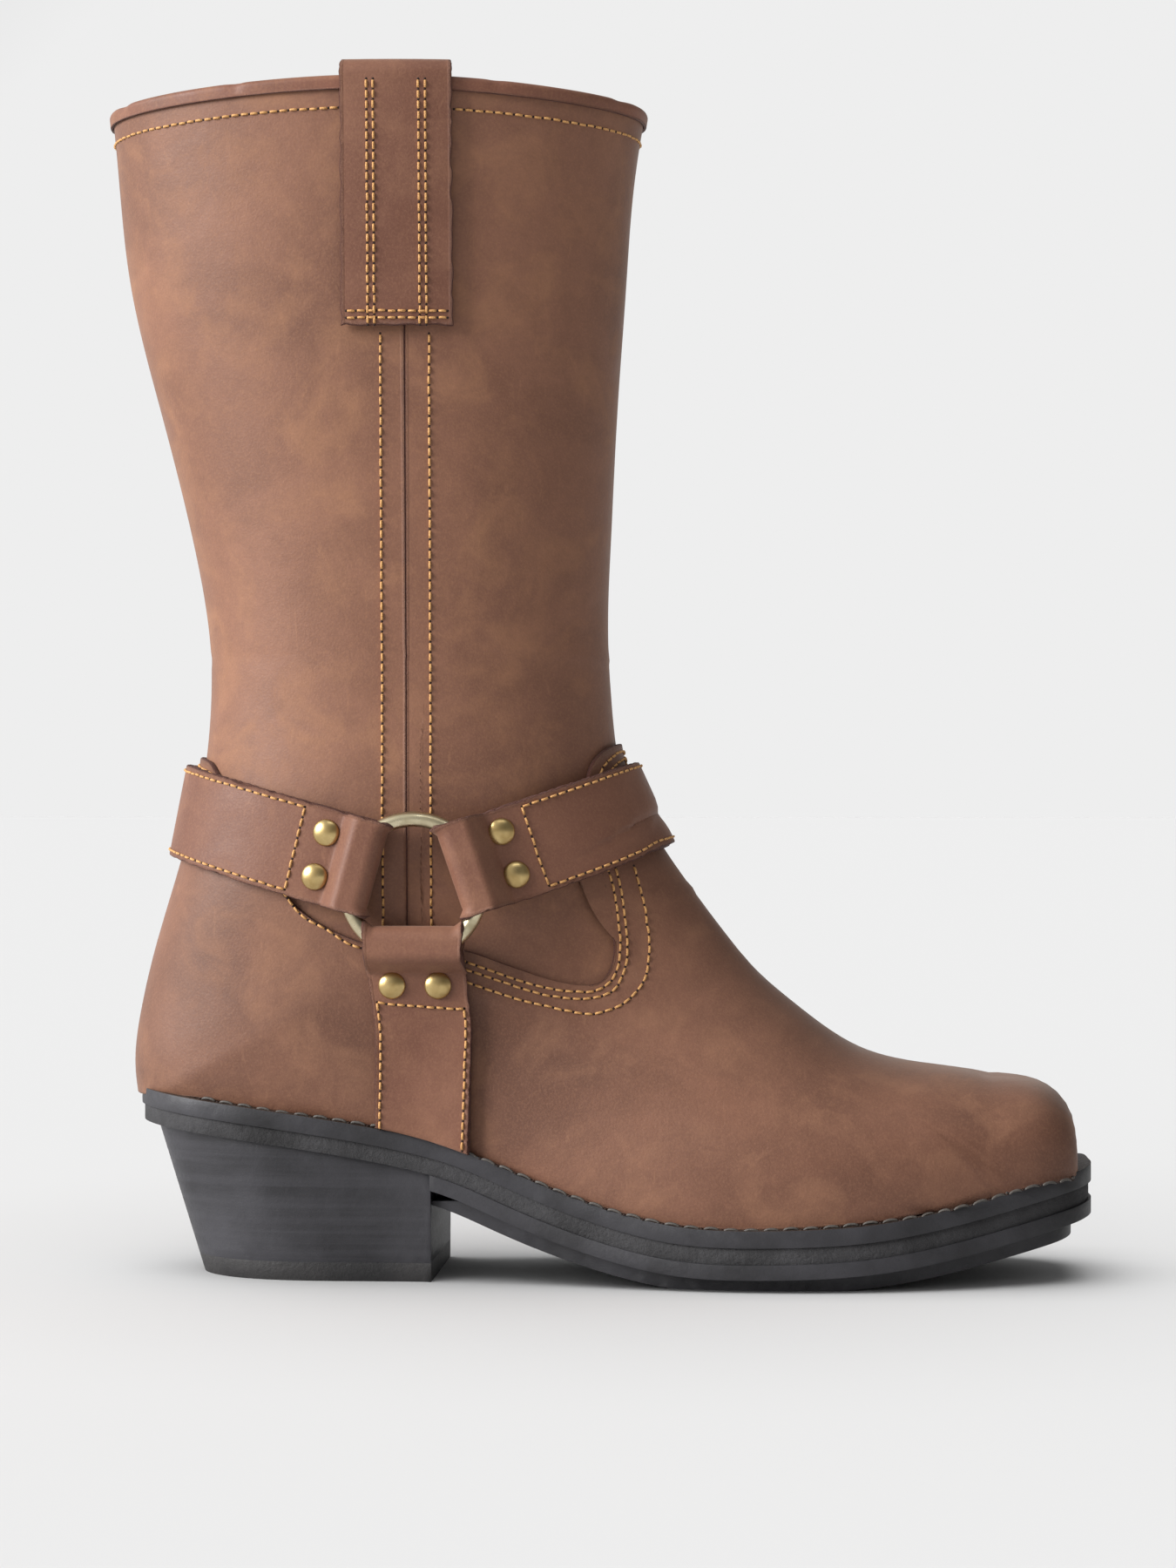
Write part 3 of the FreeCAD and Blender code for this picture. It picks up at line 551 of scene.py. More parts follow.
def grid_shell(base, under, over, cut=0.4 * mm, ragged=0.0, out=None):
    """Points and faces of a sheet of leather: two faces with a rounded cut edge all round.
    base is a grid of points; under and over are heights from it. Also says how near to a
    cut edge each point is."""
    rows, columns = base.shape[:2]
    if out is None:
        out = unit(np.cross(np.gradient(base, axis=0), np.gradient(base, axis=1)))
    over = np.broadcast_to(over, (rows, columns))
    under = np.broadcast_to(under, (rows, columns))
    rim = ([(0, c) for c in range(columns)] + [(r, columns - 1) for r in range(1, rows)]
           + [(rows - 1, c) for c in range(columns - 2, -1, -1)] + [(r, 0) for r in range(rows - 2, 0, -1)])
    edge_rows, edge_columns = np.array(rim).T
    inner_rows = np.clip(edge_rows, 1, rows - 2)
    inner_columns = np.clip(edge_columns, 1, columns - 2)
    edge = base[edge_rows, edge_columns]
    inward = unit(base[inner_rows, inner_columns] - edge)
    if ragged:
        waves = wobble.normal(0, 1, len(rim))
        waves = (waves + np.roll(waves, 1) + np.roll(waves, -1)) / 1.7
        edge = edge + inward * (np.abs(waves) * ragged)[:, None]
    edge_out = out[edge_rows, edge_columns]
    high, low = over[edge_rows, edge_columns], under[edge_rows, edge_columns]
    cut = min(cut, 0.45 * float((over - under).min()))
    profile = [(cut, high), (0.29 * cut, high - 0.29 * cut), (0.0, high - cut), (0.0, low + cut),
               (0.29 * cut, low + 0.29 * cut), (cut, low)]
    loops = [edge + inward * share + edge_out * height[:, None] for share, height in profile]
    top = base + out * over[..., None]
    bottom = base + out * under[..., None]
    top[edge_rows, edge_columns] = loops[0]
    bottom[edge_rows, edge_columns] = loops[-1]
    index = np.arange(rows * columns).reshape(rows, columns)
    count = rows * columns
    points = [top.reshape(-1, 3), bottom.reshape(-1, 3)] + loops[1:-1]
    quads = []
    for r in range(rows - 1):
        for c in range(columns - 1):
            a, b, d, e = index[r, c], index[r + 1, c], index[r + 1, c + 1], index[r, c + 1]
            quads.append((a, b, d, e))
            quads.append((count + e, count + d, count + b, count + a))
    rim_index = index[edge_rows, edge_columns]
    length = len(rim)
    layers = [rim_index] + [2 * count + k * length + np.arange(length) for k in range(4)]
    layers.append(count + rim_index)
    for k in range(5):
        for i in range(length):
            j = (i + 1) % length
            quads.append((layers[k][i], layers[k][j], layers[k + 1][j], layers[k + 1][i]))
    worn = np.zeros(2 * count + 4 * length)
    worn[2 * count:] = 1
    near = np.minimum.reduce([np.arange(rows)[:, None] + 0 * index, np.arange(columns)[None, :] + 0 * index,
                              (rows - 1 - np.arange(rows))[:, None] + 0 * index,
                              (columns - 1 - np.arange(columns))[None, :] + 0 * index])
    worn[:2 * count] = np.tile(np.where(near == 0, 0.6, 0.0).ravel(), 2)
    return np.concatenate(points), quads, worn


def piece(name, shells, materials, slot_name, *nodes, body="root"):
    """One object made of shells, standing for its CAD nodes."""
    points, faces, worn, start = [], [], [], 0
    for shell_points, shell_faces, shell_worn in shells:
        points.append(shell_points)
        faces += [tuple(int(i) + start for i in face) for face in shell_faces]
        worn.append(shell_worn)
        start += len(shell_points)
    mesh = mesh_of(name, np.concatenate(points), faces, materials)
    marks = mesh.attributes.new("cut_edge", "FLOAT", "POINT")
    marks.data.foreach_set("value", np.concatenate(worn).astype(np.float32))
    obj = link(bpy.data.objects.new(name, mesh))
    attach(obj, body)
    if nodes:
        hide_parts(*nodes)
    return obj


class Nodes:
    """Short hand for building a material's node tree."""

    def __init__(self, tree):
        self.tree = tree
        self.place = tree.nodes.new("ShaderNodeTexCoord").outputs["Object"]

    def add(self, kind, **inputs):
        node = self.tree.nodes.new("ShaderNode" + kind)
        for key, value in inputs.items():
            self.feed(node.inputs[key.replace("_", " ")], value)
        return node

    def feed(self, socket, value):
        if isinstance(value, bpy.types.NodeSocket):
            self.tree.links.new(value, socket)
        else:
            socket.default_value = value

    def noise(self, scale, detail=4.0, roughness=0.55, distortion=0.0, place=None):
        node = self.add("TexNoise", Vector=place or self.place, Scale=scale, Detail=detail,
                        Roughness=roughness, Distortion=distortion)
        return node.outputs["Fac"]

    def stretched(self, x, y, z):
        """The place on the piece, drawn out by these factors."""
        return self.add("Mapping", Vector=self.place, Scale=(x, y, z)).outputs["Vector"]

    def cells(self, scale, feature="F1", place=None):
        node = self.add("TexVoronoi", Vector=place or self.place, Scale=scale)
        node.feature = feature
        return node.outputs["Distance"]

    def math(self, operation, a, b=0.0, clamp=False):
        node = self.tree.nodes.new("ShaderNodeMath")
        node.operation = operation
        node.use_clamp = clamp
        self.feed(node.inputs[0], a)
        self.feed(node.inputs[1], b)
        return node.outputs[0]

    def span(self, value, low, high, start=0.0, end=1.0):
        """The value spread from low..high to start..end."""
        node = self.tree.nodes.new("ShaderNodeMapRange")
        for socket, number in zip(node.inputs, (value, low, high, start, end)):
            self.feed(socket, number)
        return node.outputs[0]

    def mix(self, share, a, b, how="MIX"):
        node = self.tree.nodes.new("ShaderNodeMix")
        node.data_type = "RGBA"
        node.blend_type = how
        self.feed(node.inputs[0], share)
        self.feed(node.inputs[6], a)
        self.feed(node.inputs[7], b)
        return node.outputs[2]

    def mark(self, name):
        node = self.tree.nodes.new("ShaderNodeAttribute")
        node.attribute_name = name
        return node.outputs["Fac"]

    def bump(self, height, strength, distance, below=None):
        node = self.tree.nodes.new("ShaderNodeBump")
        node.inputs["Strength"].default_value = strength
        node.inputs["Distance"].default_value = distance
        self.feed(node.inputs["Height"], height)
        if below is not None:
            self.tree.links.new(below, node.inputs["Normal"])
        return node.outputs["Normal"]


def rgb(red, green, blue):
    """A colour given in the 0-255 steps that a swatch card uses."""
    steps = [c / 255 for c in (red, green, blue)]
    return tuple(c / 12.92 if c <= 0.04045 else ((c + 0.055) / 1.055) ** 2.4 for c in steps) + (1.0,)


hide_brown = rgb(128, 88, 69)
hide_dark = rgb(98, 64, 49)
hide_tan = rgb(154, 110, 80)
raw_red = rgb(84, 40, 31)


def oiled_hide(name, main=hide_brown, dark=hide_dark, light=hide_tan, cloud=0.48, offset=0.0):
    """Oiled pull-up hide: clouded where the oil has moved, lighter where it is rubbed, with a
    fine grain, a few scratches and raw reddish cut edges."""
    material, tree, shader = new_material(name)
    n = Nodes(tree)
    shift = (offset, offset * 0.7, offset * 1.3)
    shifted = n.add("Mapping", Vector=n.place, Location=shift).outputs["Vector"]
    clouds = n.noise(17.0, 5.0, 0.6, 0.6, shifted)
    patches = n.noise(48.0, 4.0, 0.6, 0.9, shifted)
    mottle = n.noise(210.0, 6.0, 0.75, 0.4, shifted)
    specks = n.noise(1400.0, 2.0, 0.6, 0.0, shifted)
    colour = n.mix(n.span(clouds, 0.32, 0.62, 0.1, 1.0), dark, main)
    rubbed = n.math("MULTIPLY", n.span(patches, 0.48, 0.72), cloud, clamp=True)
    colour = n.mix(rubbed, colour, light)
    colour = n.mix(n.span(mottle, 0.35, 0.75, 0.0, 0.34), colour, dark)
    colour = n.mix(n.span(specks, 0.45, 0.7, 0.0, 0.22), colour, light)
    scuffs = n.noise(120.0, 8.0, 0.75, 2.2, n.stretched(1.0, 1.0, 0.25))
    scuff = n.math("MULTIPLY", n.span(scuffs, 0.60, 0.70), 0.34, clamp=True)
    colour = n.mix(scuff, colour, light)
    edge = n.mark("cut_edge")
    colour = n.mix(n.span(edge, 0.62, 0.95), colour, raw_red)
    n.feed(shader.inputs["Base Color"], colour)
    n.feed(shader.inputs["Roughness"], n.span(patches, 0.35, 0.75, 0.50, 0.66))
    shader.inputs["Specular IOR Level"].default_value = 0.32
    shader.inputs["Sheen Weight"].default_value = 0.12
    shader.inputs["Sheen Roughness"].default_value = 0.5
    shader.inputs["Sheen Tint"].default_value = (1.0, 0.82, 0.68, 1)
    pores = n.cells(1500.0)
    creases = n.noise(520.0, 4.0, 0.65, 0.8)
    rough_edge = n.math("MULTIPLY", n.noise(2600.0, 3.0, 0.8), n.math("MULTIPLY", edge, 2.0))
    relief = n.bump(pores, 0.35, 0.00008)
    relief = n.bump(creases, 0.30, 0.00025, relief)
    relief = n.bump(rough_edge, 0.9, 0.0005, relief)
    n.feed(shader.inputs["Normal"], relief)
    return material


shaft_hide = oiled_hide("shaft_hide")
rim_at_seam = 352.8
seam_foot = (seam_x, 89.6)
back_turn = {lateral: 0.0, medial: float(turns)}


def rim_half(side, goal):
    """The rim from a side seam to the front or back centre column."""
    start = place(*bench(seam_x, rim_at_seam), side)[1]
    columns = np.linspace(start, goal, 90)
    return np.stack([rim_rows(columns), columns], axis=1)


def seam_line(side):
    """The side seam from the rim down to the hidden edge."""
    return np.array([place(*bench(seam_x, z), side) for z in np.linspace(rim_at_seam, seam_foot[1], 90)])


def up_to(line, column, near=0.25):
    """The line cut where it reaches the centre column, and ended on it."""
    reached = np.abs(line[:, 1] - column) < near
    if reached.any():
        line = line[:int(np.argmax(reached)) + 1]
    line[-1, 1] = column
    return in_order(line)


def quarter_half(side, goes_back):
    """The hidden lower edge of the panels from a side seam to the back or the front."""
    behind, ahead = [p for p in quarter_edge if p[0] < 80], [p for p in quarter_edge if p[0] > 90]
    points = [seam_foot] + (behind[::-1] if goes_back else ahead)
    corners = evenly(np.array(points, float), 160)
    line = np.array([place(*bench(x, z), side) for x, z in corners])
    return up_to(line, back_turn[side] if goes_back else front_turn, near=0.3)


front_grid = patch(across_front(lambda side: rim_half(side, front_turn)),
                   across_front(lambda side: quarter_half(side, False)),
                   seam_line(lateral), seam_line(medial), 150, 130)
back_grid = patch(across_back(lambda side: rim_half(side, back_turn[side])),
                  across_back(lambda side: quarter_half(side, True)),
                  seam_line(medial) - (0, turns), seam_line(lateral), 150, 130)
for name, grid in (("shaft_front_panel", front_grid), ("shaft_back_panel", back_grid)):
    base, out = on_last(grid[..., 0], grid[..., 1])
    piece(name + "_hide", [grid_shell(base, -leather, 0.0, out=out)], [shaft_hide], "upper_leather", name)


# ---------------------------------------------------------------- vamp and counter cover
# The foot is cased in two more pieces of the same hide: the vamp over the toe and instep, with
# its tongue under the front strap, and the counter cover round the heel. Both overlap the
# panels and are drawn down into the welt seam.
sewn_gap = 0.05 * mm
vamp_edge = [(85.7, 102), (102, 98.3), (113, 94.2), (127, 89.3), (138, 87.8), (143.6, 92.5),
             (144.2, 102.6), (141.2, 119.5), (137.5, 137), (136.3, 150), (140, 157), (147, 160), (160, 161)]
counter_edge = [(85.3, 100.5), (69, 101.6), (50, 112.8), (36, 134), (27, 150), (18, 155.5), (-20, 157.5)]


def seam_share(side):
    """Where the side seam meets the welt, as a place in the feather line."""
    x = skin_points(feather[side][:, 0], feather[side][:, 1])[:, 0]
    return int(np.argmax((x - welt_back) / mm > seam_x + 1.0))


def feather_half(side, goes_back):
    index = seam_share(side)
    line = feather[side]
    if goes_back:
        line = line[:index + 1][::-1].copy()
        line[-1, 1] = back_turn[side]
        return in_order(line)
    return in_order(line[index:].copy())


def down_seam(side, x, high):
    """From the edge of a foot piece down the side to the welt."""
    end = feather[side][seam_share(side)]
    low = side_view(skin_points(*end[None].T))[1][0]
    line = np.array([place(*bench(x, z), side) for z in np.linspace(high, low, 40)])
    line[-1] = end
    return line


def vamp_half(side):
    return up_to(traced(vamp_edge, side, 240), front_turn)


def counter_half(side):
    return up_to(traced(counter_edge, side, 160), back_turn[side])


def above_welt(shell):
    """A shell with nothing of it below the top of the welt."""
    points, faces, worn = shell
    points[:, 2] = np.maximum(points[:, 2], welt_height(points[:, 0]) + 0.02 * mm)
    return points, faces, worn


# Painted shade: the same hide with its tones made a little darker, standing for the shade on the lower part
# of the boot.
foot_hide_painted_shade = oiled_hide("foot_hide_painted_shade", main=rgb(119, 81, 63), dark=rgb(91, 59, 45), light=rgb(143, 102, 77),
                       offset=0.37)
vamp_grid = patch(across_front(vamp_half), across_front(lambda side: feather_half(side, False)),
                  down_seam(lateral, 85.7, 102.0), down_seam(medial, 85.7, 102.0), 72, 240)
counter_grid = patch(across_back(counter_half), across_back(lambda side: feather_half(side, True)),
                     down_seam(medial, 85.3, 100.5) - (0, turns), down_seam(lateral, 85.3, 100.5), 60, 130)
for name, grid in (("vamp", vamp_grid), ("heel_counter_cover", counter_grid)):
    base, out = on_last(grid[..., 0], grid[..., 1])
    shells = [above_welt(grid_shell(base, sewn_gap, sewn_gap + leather, ragged=0.12 * mm, out=out))]
    piece(name + "_hide", shells, [foot_hide_painted_shade], "upper_leather", name)

# ---------------------------------------------------------------- lining
# Smooth pigskin, 1.2 mm, glued to the back of the panels, and a second piece down in the
# foot, where it also covers the toe puff and the heel stiffener.
lining = 1.2 * mm


def pigskin(name):
    """Pale brown lining skin with its pores in threes and a dry, smooth face."""
    material, tree, shader = new_material(name)
    n = Nodes(tree)
    tone = n.mix(n.span(n.noise(30.0, 4.0), 0.35, 0.65), rgb(150, 112, 84), rgb(176, 138, 106))
    pores = n.cells(620.0)
    tone = n.mix(n.span(pores, 0.0, 0.22, 0.55, 0.0), tone, rgb(96, 66, 47))
    n.feed(shader.inputs["Base Color"], tone)
    n.feed(shader.inputs["Roughness"], n.span(n.noise(90.0), 0.3, 0.7, 0.55, 0.72))
    n.feed(shader.inputs["Normal"], n.bump(pores, 0.3, 0.0002))
    return material


lining_skin = pigskin("lining_skin")


def whole_turn(half_front, half_back):
    """A line right round, from the back centre by the outer side to the back centre again."""
    outer = np.concatenate([half_back(lateral)[::-1], half_front(lateral)[1:]])
    inner = np.concatenate([half_front(medial)[::-1], half_back(medial)[1:]])
    return np.concatenate([outer[:-1], inner])


def straight(start, end, count=80):
    return start + (end - start) * np.linspace(0, 1, count)[:, None]


rim_round = whole_turn(lambda side: rim_half(side, front_turn), lambda side: rim_half(side, back_turn[side]))
quarter_round = whole_turn(lambda side: quarter_half(side, False), lambda side: quarter_half(side, True))
feather_round = whole_turn(lambda side: feather_half(side, False), lambda side: feather_half(side, True))
leg_grid = patch(rim_round, quarter_round, straight(rim_round[0], quarter_round[0]),
                 straight(rim_round[-1], quarter_round[-1]), 120, 220)
foot_grid = patch(quarter_round, feather_round, straight(quarter_round[0], feather_round[0]),
                  straight(quarter_round[-1], feather_round[-1]), 70, 360)
behind_puff = 233.0
stiffener_line = np.array(stiffener_edge + [(60.1, -99)])
for name, grid in (("shaft_lining", leg_grid), ("foot_lining", foot_grid)):
    base, out = on_last(grid[..., 0], grid[..., 1])
    over = np.full(grid.shape[:2], -leather - sewn_gap)
    if name == "foot_lining":
        x, z = side_view(base)
        under_stiffener = z < np.interp(x, *stiffener_line.T)
        over[(x < behind_puff) & ~under_stiffener] = -sewn_gap
    shells = [above_welt(grid_shell(base, -leather - sewn_gap - lining, over, cut=0.2 * mm, out=out))]
    piece(name + "_skin", shells, [lining_skin], "lining_leather", name)

tape_half, tape_top, tape_foot = 7.0, 297.5, 100.5
tape_cloth, tree, shader = new_material("tape_cloth")
n = Nodes(tree)
ribs = n.noise(900.0, 2.0, 0.5, 0.0, n.stretched(1.0, 1.0, 0.1))
n.feed(shader.inputs["Base Color"], n.mix(n.span(ribs, 0.4, 0.6), rgb(74, 56, 44), rgb(98, 76, 60)))
shader.inputs["Roughness"].default_value = 0.85
n.feed(shader.inputs["Normal"], n.bump(ribs, 0.5, 0.0003))
shells = []
for side in (lateral, medial):
    across_tape = np.linspace(-1, 1, 9) * tape_half * side * -1
    tape = np.array([[place(*bench(seam_x + across, z), side) for across in across_tape]
                     for z in np.linspace(tape_top, tape_foot, 80)])
    base = on_last(tape[..., 0], tape[..., 1])[0]
    inner = -leather - sewn_gap - lining - sewn_gap
    shells.append(grid_shell(base, inner - 0.7 * mm, inner, cut=0.1 * mm))
piece("seam_tapes_woven", shells, [tape_cloth], "tape", "side_seam_tapes")

# ---------------------------------------------------------------- top binding
# A thin strip of the hide folded over the raw rim: 3 mm shows outside, 12 mm inside, and one
# row of stitches through everything holds it.
binding = 1.0 * mm
binding_outside, binding_inside = 3.2 * mm, 12.0 * mm
binding_hide = oiled_hide("binding_hide", main=rgb(122, 78, 62), offset=0.8)
outer_leg = sewn_gap + binding / 2
inner_leg = -leather - 2 * sewn_gap - lining - binding / 2
corner = 1.15 * mm
crown = sewn_gap + binding / 2
fold = [(outer_leg, -drop) for drop in np.linspace(binding_outside, corner - crown, 5)]
for angle in np.linspace(0, math.pi / 2, 7)[1:]:
    fold.append((outer_leg - corner + corner * math.cos(angle), crown - corner + corner * math.sin(angle)))
for angle in np.linspace(math.pi / 2, math.pi, 7):
    fold.append((inner_leg + corner + corner * math.cos(angle), crown - corner + corner * math.sin(angle)))
fold += [(inner_leg, -drop) for drop in np.linspace(corner - crown, binding_inside, 10)[1:]]
columns = np.linspace(0, turns, 300)
strip = []
for height, lift in fold[::-1]:
    rows = rim_rows(columns, -lift)
    strip.append(on_last(rows, columns, np.full(len(columns), height))[0])
strip = np.array(strip)[::-1]


ankle_middle = np.array((skin[..., 0].mean(), 0, 0.2))
strip_top = strip[:9]
if np.median((np.cross(np.gradient(strip_top, axis=0), np.gradient(strip_top, axis=1))
              * (strip_top - ankle_middle))[..., :2].sum(axis=-1)) > 0:
    binding_base = strip
else:
    binding_base = strip[:, ::-1]
piece("top_binding_hide", [grid_shell(binding_base[::-1, ::-1], -binding / 2, binding / 2, cut=0.25 * mm)],
      [binding_hide], "binding_leather", "top_binding")

# ---------------------------------------------------------------- pull straps
# One strap stands over the rim at each side: 2 mm hide folded in half, sewn down outside with
# two double rows and inside, and open at the top as a loop for the fingers.
pull_x, pull_half, pull_ply = 82.3, 16.25, 2.0 * mm
pull_foot, pull_inside, pull_top = 281.0 * mm, 298.0 * mm, 358.5 * mm
pull_outer = 2 * sewn_gap + binding + pull_ply / 2
pull_inner = -leather - lining - 3 * sewn_gap - binding - pull_ply / 2
loop_radius = (pull_outer - pull_inner) / 2
loop_z = pull_top - pull_ply / 2 - loop_radius
strap_hide = oiled_hide("strap_hide", main=rgb(124, 84, 66), dark=rgb(98, 61, 47), light=rgb(148, 106, 80),
                        cloud=0.3, offset=1.9)
pull_bases = {}
for side in (lateral, medial):
    path = [(pull_outer, z) for z in np.linspace(pull_foot, loop_z, 48)]
    for angle in np.linspace(0, math.pi, 19)[1:-1]:
        path.append(((pull_outer + pull_inner) / 2 + loop_radius * math.cos(angle),
                     loop_z + loop_radius * math.sin(angle)))
    path += [(pull_inner, z) for z in np.linspace(loop_z, pull_inside, 36)]
    base = []
    for height, z in path:
        line = []
        for across in np.linspace(-pull_half, pull_half, 23):
            row, column = place(*bench(pull_x + across, min(z, top_z) / mm), side)
            line.append((row, column))
        line = np.array(line)
        base.append(on_last(line[:, 0], line[:, 1], np.full(len(line), height))[0])
    base = np.array(base)
    base = base[::-1] if side == lateral else base[::-1, ::-1]
    pull_bases[side] = base
    name = "pull_strap_outer" if side == lateral else "pull_strap_inner"
    piece(name + "_hide", [grid_shell(base, -pull_ply / 2, pull_ply / 2, cut=0.45 * mm, ragged=0.25 * mm)],
          [strap_hide], "strap_leather", name)

# ---------------------------------------------------------------- ankle straps
# The harness is three straps of 1.9 mm hide, 28.5 mm wide, that meet at a ring each side. The
# front and rear ones run round the ankle from ring to ring: each end is folded back round the
# ring and riveted to itself, and a second ply backs it the rest of the way.
ring_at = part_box("harness_ring_outer")
ring_middle = (np.array(ring_at[0]) + np.array(ring_at[1])) / 2
ring_outer = ring_at[1].x - ring_at[0].x
ring_wire = ring_at[1].y - ring_at[0].y
ring_radius = (ring_outer - ring_wire) / 2
strap_half, ply = 14.25 * mm, 1.9 * mm
slack = 0.3 * mm
inner_ply = leather + 2 * sewn_gap + ply / 2
outer_ply = inner_ply + ply + sewn_gap
fold_reach = 11.4 * mm + ply / 2
fold_radius = ring_wire / 2 + slack + ply / 2
clear_of_ring = 20.2 * mm
back_on_boot = 25.0 * mm
leg_reach = 44.0 * mm
strap_lines = 23
middle_line = strap_lines // 2


def hull_of(grid):
    """A grid of points as a surface that rays can hit."""
    rows, columns = grid.shape[:2]
    cells = [(r * columns + c, (r + 1) * columns + c, (r + 1) * columns + c + 1, r * columns + c + 1)
             for r in range(rows - 1) for c in range(columns - 1)]
    return BVHTree.FromPolygons([Vector(point) for point in grid.reshape(-1, 3)], cells)


skin_hull = hull_of(skin)


def eased(share):
    share = np.clip(share, 0, 1)
    return share * share * (3 - 2 * share)


class Wrap:
    """How an ankle strap lies on the skin: a fan of flat cuts, one for each line across it."""

    def __init__(self, angle, rise, middle_reach):
        turn = math.radians(angle)
        self.along = np.array((math.cos(turn), 0, math.sin(turn)))
        self.across = np.array((-math.sin(turn), 0, math.cos(turn)))
        if self.across[2] < 0:
            self.across = -self.across
        self.start = np.array((ring_middle[0], 0, ring_middle[2])) + self.across * rise * mm
        self.v = np.linspace(-strap_half, strap_half, strap_lines)
        swings = np.radians(np.linspace(-140, 140, 701))
        self.lines = []
        for v in self.v:
            middle = self.start + self.across * v + self.along * middle_reach
            line = []
            for swing in swings:
                way = self.along * math.cos(swing) + np.array((0, math.sin(swing), 0))
                hit = skin_hull.ray_cast(Vector(middle + way * 0.3), Vector(-way))[0]
                line.append(np.array(hit))
            self.lines.append(np.array(line))

    def reach_of(self, points):
        return (points - self.start) @ self.along

    def at(self, index, u, side):
        """Skin point a distance u along the strap, on one side of the boot."""
        line = self.lines[index]
        half = line[:351] if side == lateral else line[350:][::-1]
        reach = np.maximum.accumulate(self.reach_of(half))
        return np.array([np.interp(u, reach, half[:, k]) for k in range(3)]).T

    def between(self, index, u, count):
        """Evenly spaced skin points round the ankle between the two places a distance u along."""
        line = self.lines[index]
        keep = self.reach_of(line) > u
        ends = self.at(index, np.array([u]), lateral), self.at(index, np.array([u]), medial)
        return evenly(np.concatenate([ends[0], line[keep], ends[1]]), count)


def at_ring(wrap, index, u, distance, side):
    """A point of the strap's end, where it stands off the boot to hold the ring."""
    spot = wrap.start + wrap.along * u + wrap.across * wrap.v[index]
    spot[1] = side * distance
    return spot


def fold_start(v):
    """The bend of the fold, pushed back where the ring's wire leaves the strap at its edges."""
    wire = math.sqrt(max(ring_radius ** 2 - v ** 2, 0)) - ring_wire / 2 - slack - ply / 2
    return min(fold_reach, wire)


def outward(points):
    out = unit(np.cross(np.gradient(points, axis=0), np.gradient(points, axis=1)))
    middle = points.reshape(-1, 3).mean(axis=0) * (1, 0, 1)
    return out if np.median(((points - middle) * out).sum(axis=-1)) > 0 else -out


def end_of_strap(wrap, side, plane):
    """The strap's end as rows: outer ply toward the ring, the fold, and the leg folded back."""
    lines = range(len(wrap.v))
    outer_u = np.array([np.linspace(back_on_boot, fold_start(v) + fold_radius, 15) for v in wrap.v]).T
    leg_u = np.array([np.linspace(fold_start(v) + fold_radius, leg_reach, 24) for v in wrap.v]).T
    rows = []
    outer_leg = outer_u, outer_ply, plane + fold_radius
    inner_leg_back = leg_u, inner_ply, plane - fold_radius
    for us, height, stand in (outer_leg, inner_leg_back):
        skin_rows = np.array([[wrap.at(i, np.array([u[i]]), side)[0] for i in lines] for u in us])
        lying = skin_rows + outward(skin_rows) * height
        share = eased((back_on_boot - us) / (back_on_boot - clear_of_ring))[..., None]
        standing = np.array([[at_ring(wrap, i, u[i], stand, side) for i in lines] for u in us])
        rows.append(lying * (1 - share) + standing * share)
    bend = []
    for angle in np.linspace(0, math.pi, 13)[1:-1]:
        bend.append([at_ring(wrap, i, fold_start(wrap.v[i]) + fold_radius - fold_radius * math.sin(angle),
                             plane + fold_radius * math.cos(angle), side) for i in lines])
    return np.concatenate([rows[0], np.array(bend), rows[1]])


def bridged(rows):
    """The strap drawn straight from edge to edge wherever the boot falls away beneath it."""
    share = np.linspace(0, 1, rows.shape[1])[None, :, None]
    straight_over = rows[:, :1] * (1 - share) + rows[:, -1:] * share
    out = outward(rows)
    lift = np.maximum(((straight_over - rows) * out).sum(axis=-1, keepdims=True), 0)
    along = np.arange(len(rows))
    near_end = np.minimum(along, len(rows) - 1 - along)[:, None, None]
    rows_to_settle = 18
    return rows + out * lift * eased(near_end / rows_to_settle)


ring_plane = abs(ring_middle[1])
strap_tops = {}
wraps = {}
for name, angle, rise, middle_reach in (("front", 19.0, 0.3, 34 * mm), ("rear", 164.5, 1.6, 34 * mm)):
    wrap = wraps[name] = Wrap(angle, rise, middle_reach)
    lines = range(len(wrap.v))
    round_ankle = np.array([wrap.between(i, back_on_boot, 110) for i in lines]).transpose(1, 0, 2)
    lying = bridged(round_ankle + outward(round_ankle) * outer_ply)
    near, far = end_of_strap(wrap, lateral, ring_plane), end_of_strap(wrap, medial, ring_plane)
    base = np.concatenate([near[::-1][:-1], lying, far[1:]])
    backing = np.array([wrap.between(i, leg_reach + slack, 90) for i in lines]).transpose(1, 0, 2)
    out = unit(np.cross(np.gradient(base, axis=0), np.gradient(base, axis=1)))
    middle_out = outward(round_ankle)[55]
    if (out[len(near) + 54] * middle_out).sum() < 0:
        base, backing = base[:, ::-1], backing[:, ::-1]
    strap_tops[name] = base
    backing = bridged(backing + outward(backing) * inner_ply)
    shell = grid_shell(base, -ply / 2, ply / 2, cut=0.35 * mm, ragged=0.22 * mm)
    piece(name + "_strap_hide", [shell], [strap_hide], "strap_leather", name + "_ankle_strap")
    shell = grid_shell(backing, -ply / 2, ply / 2, cut=0.35 * mm, ragged=0.22 * mm)
    piece(name + "_backing_hide", [shell], [strap_hide], "strap_leather", name + "_strap_backing")

# ---------------------------------------------------------------- stirrup straps
# From each ring a doubled strap runs straight down the side of the foot and is caught in the
# welt seam, a little wider where it is folded round the ring.
stirrup_lean, fold_spread = 2.2 * mm, 0.08


def spread(across, u):
    """How far the strap's fold is wider than the strap, at a depth u below the ring's middle."""
    return across * fold_spread * (1 - eased(u / (30 * mm)))


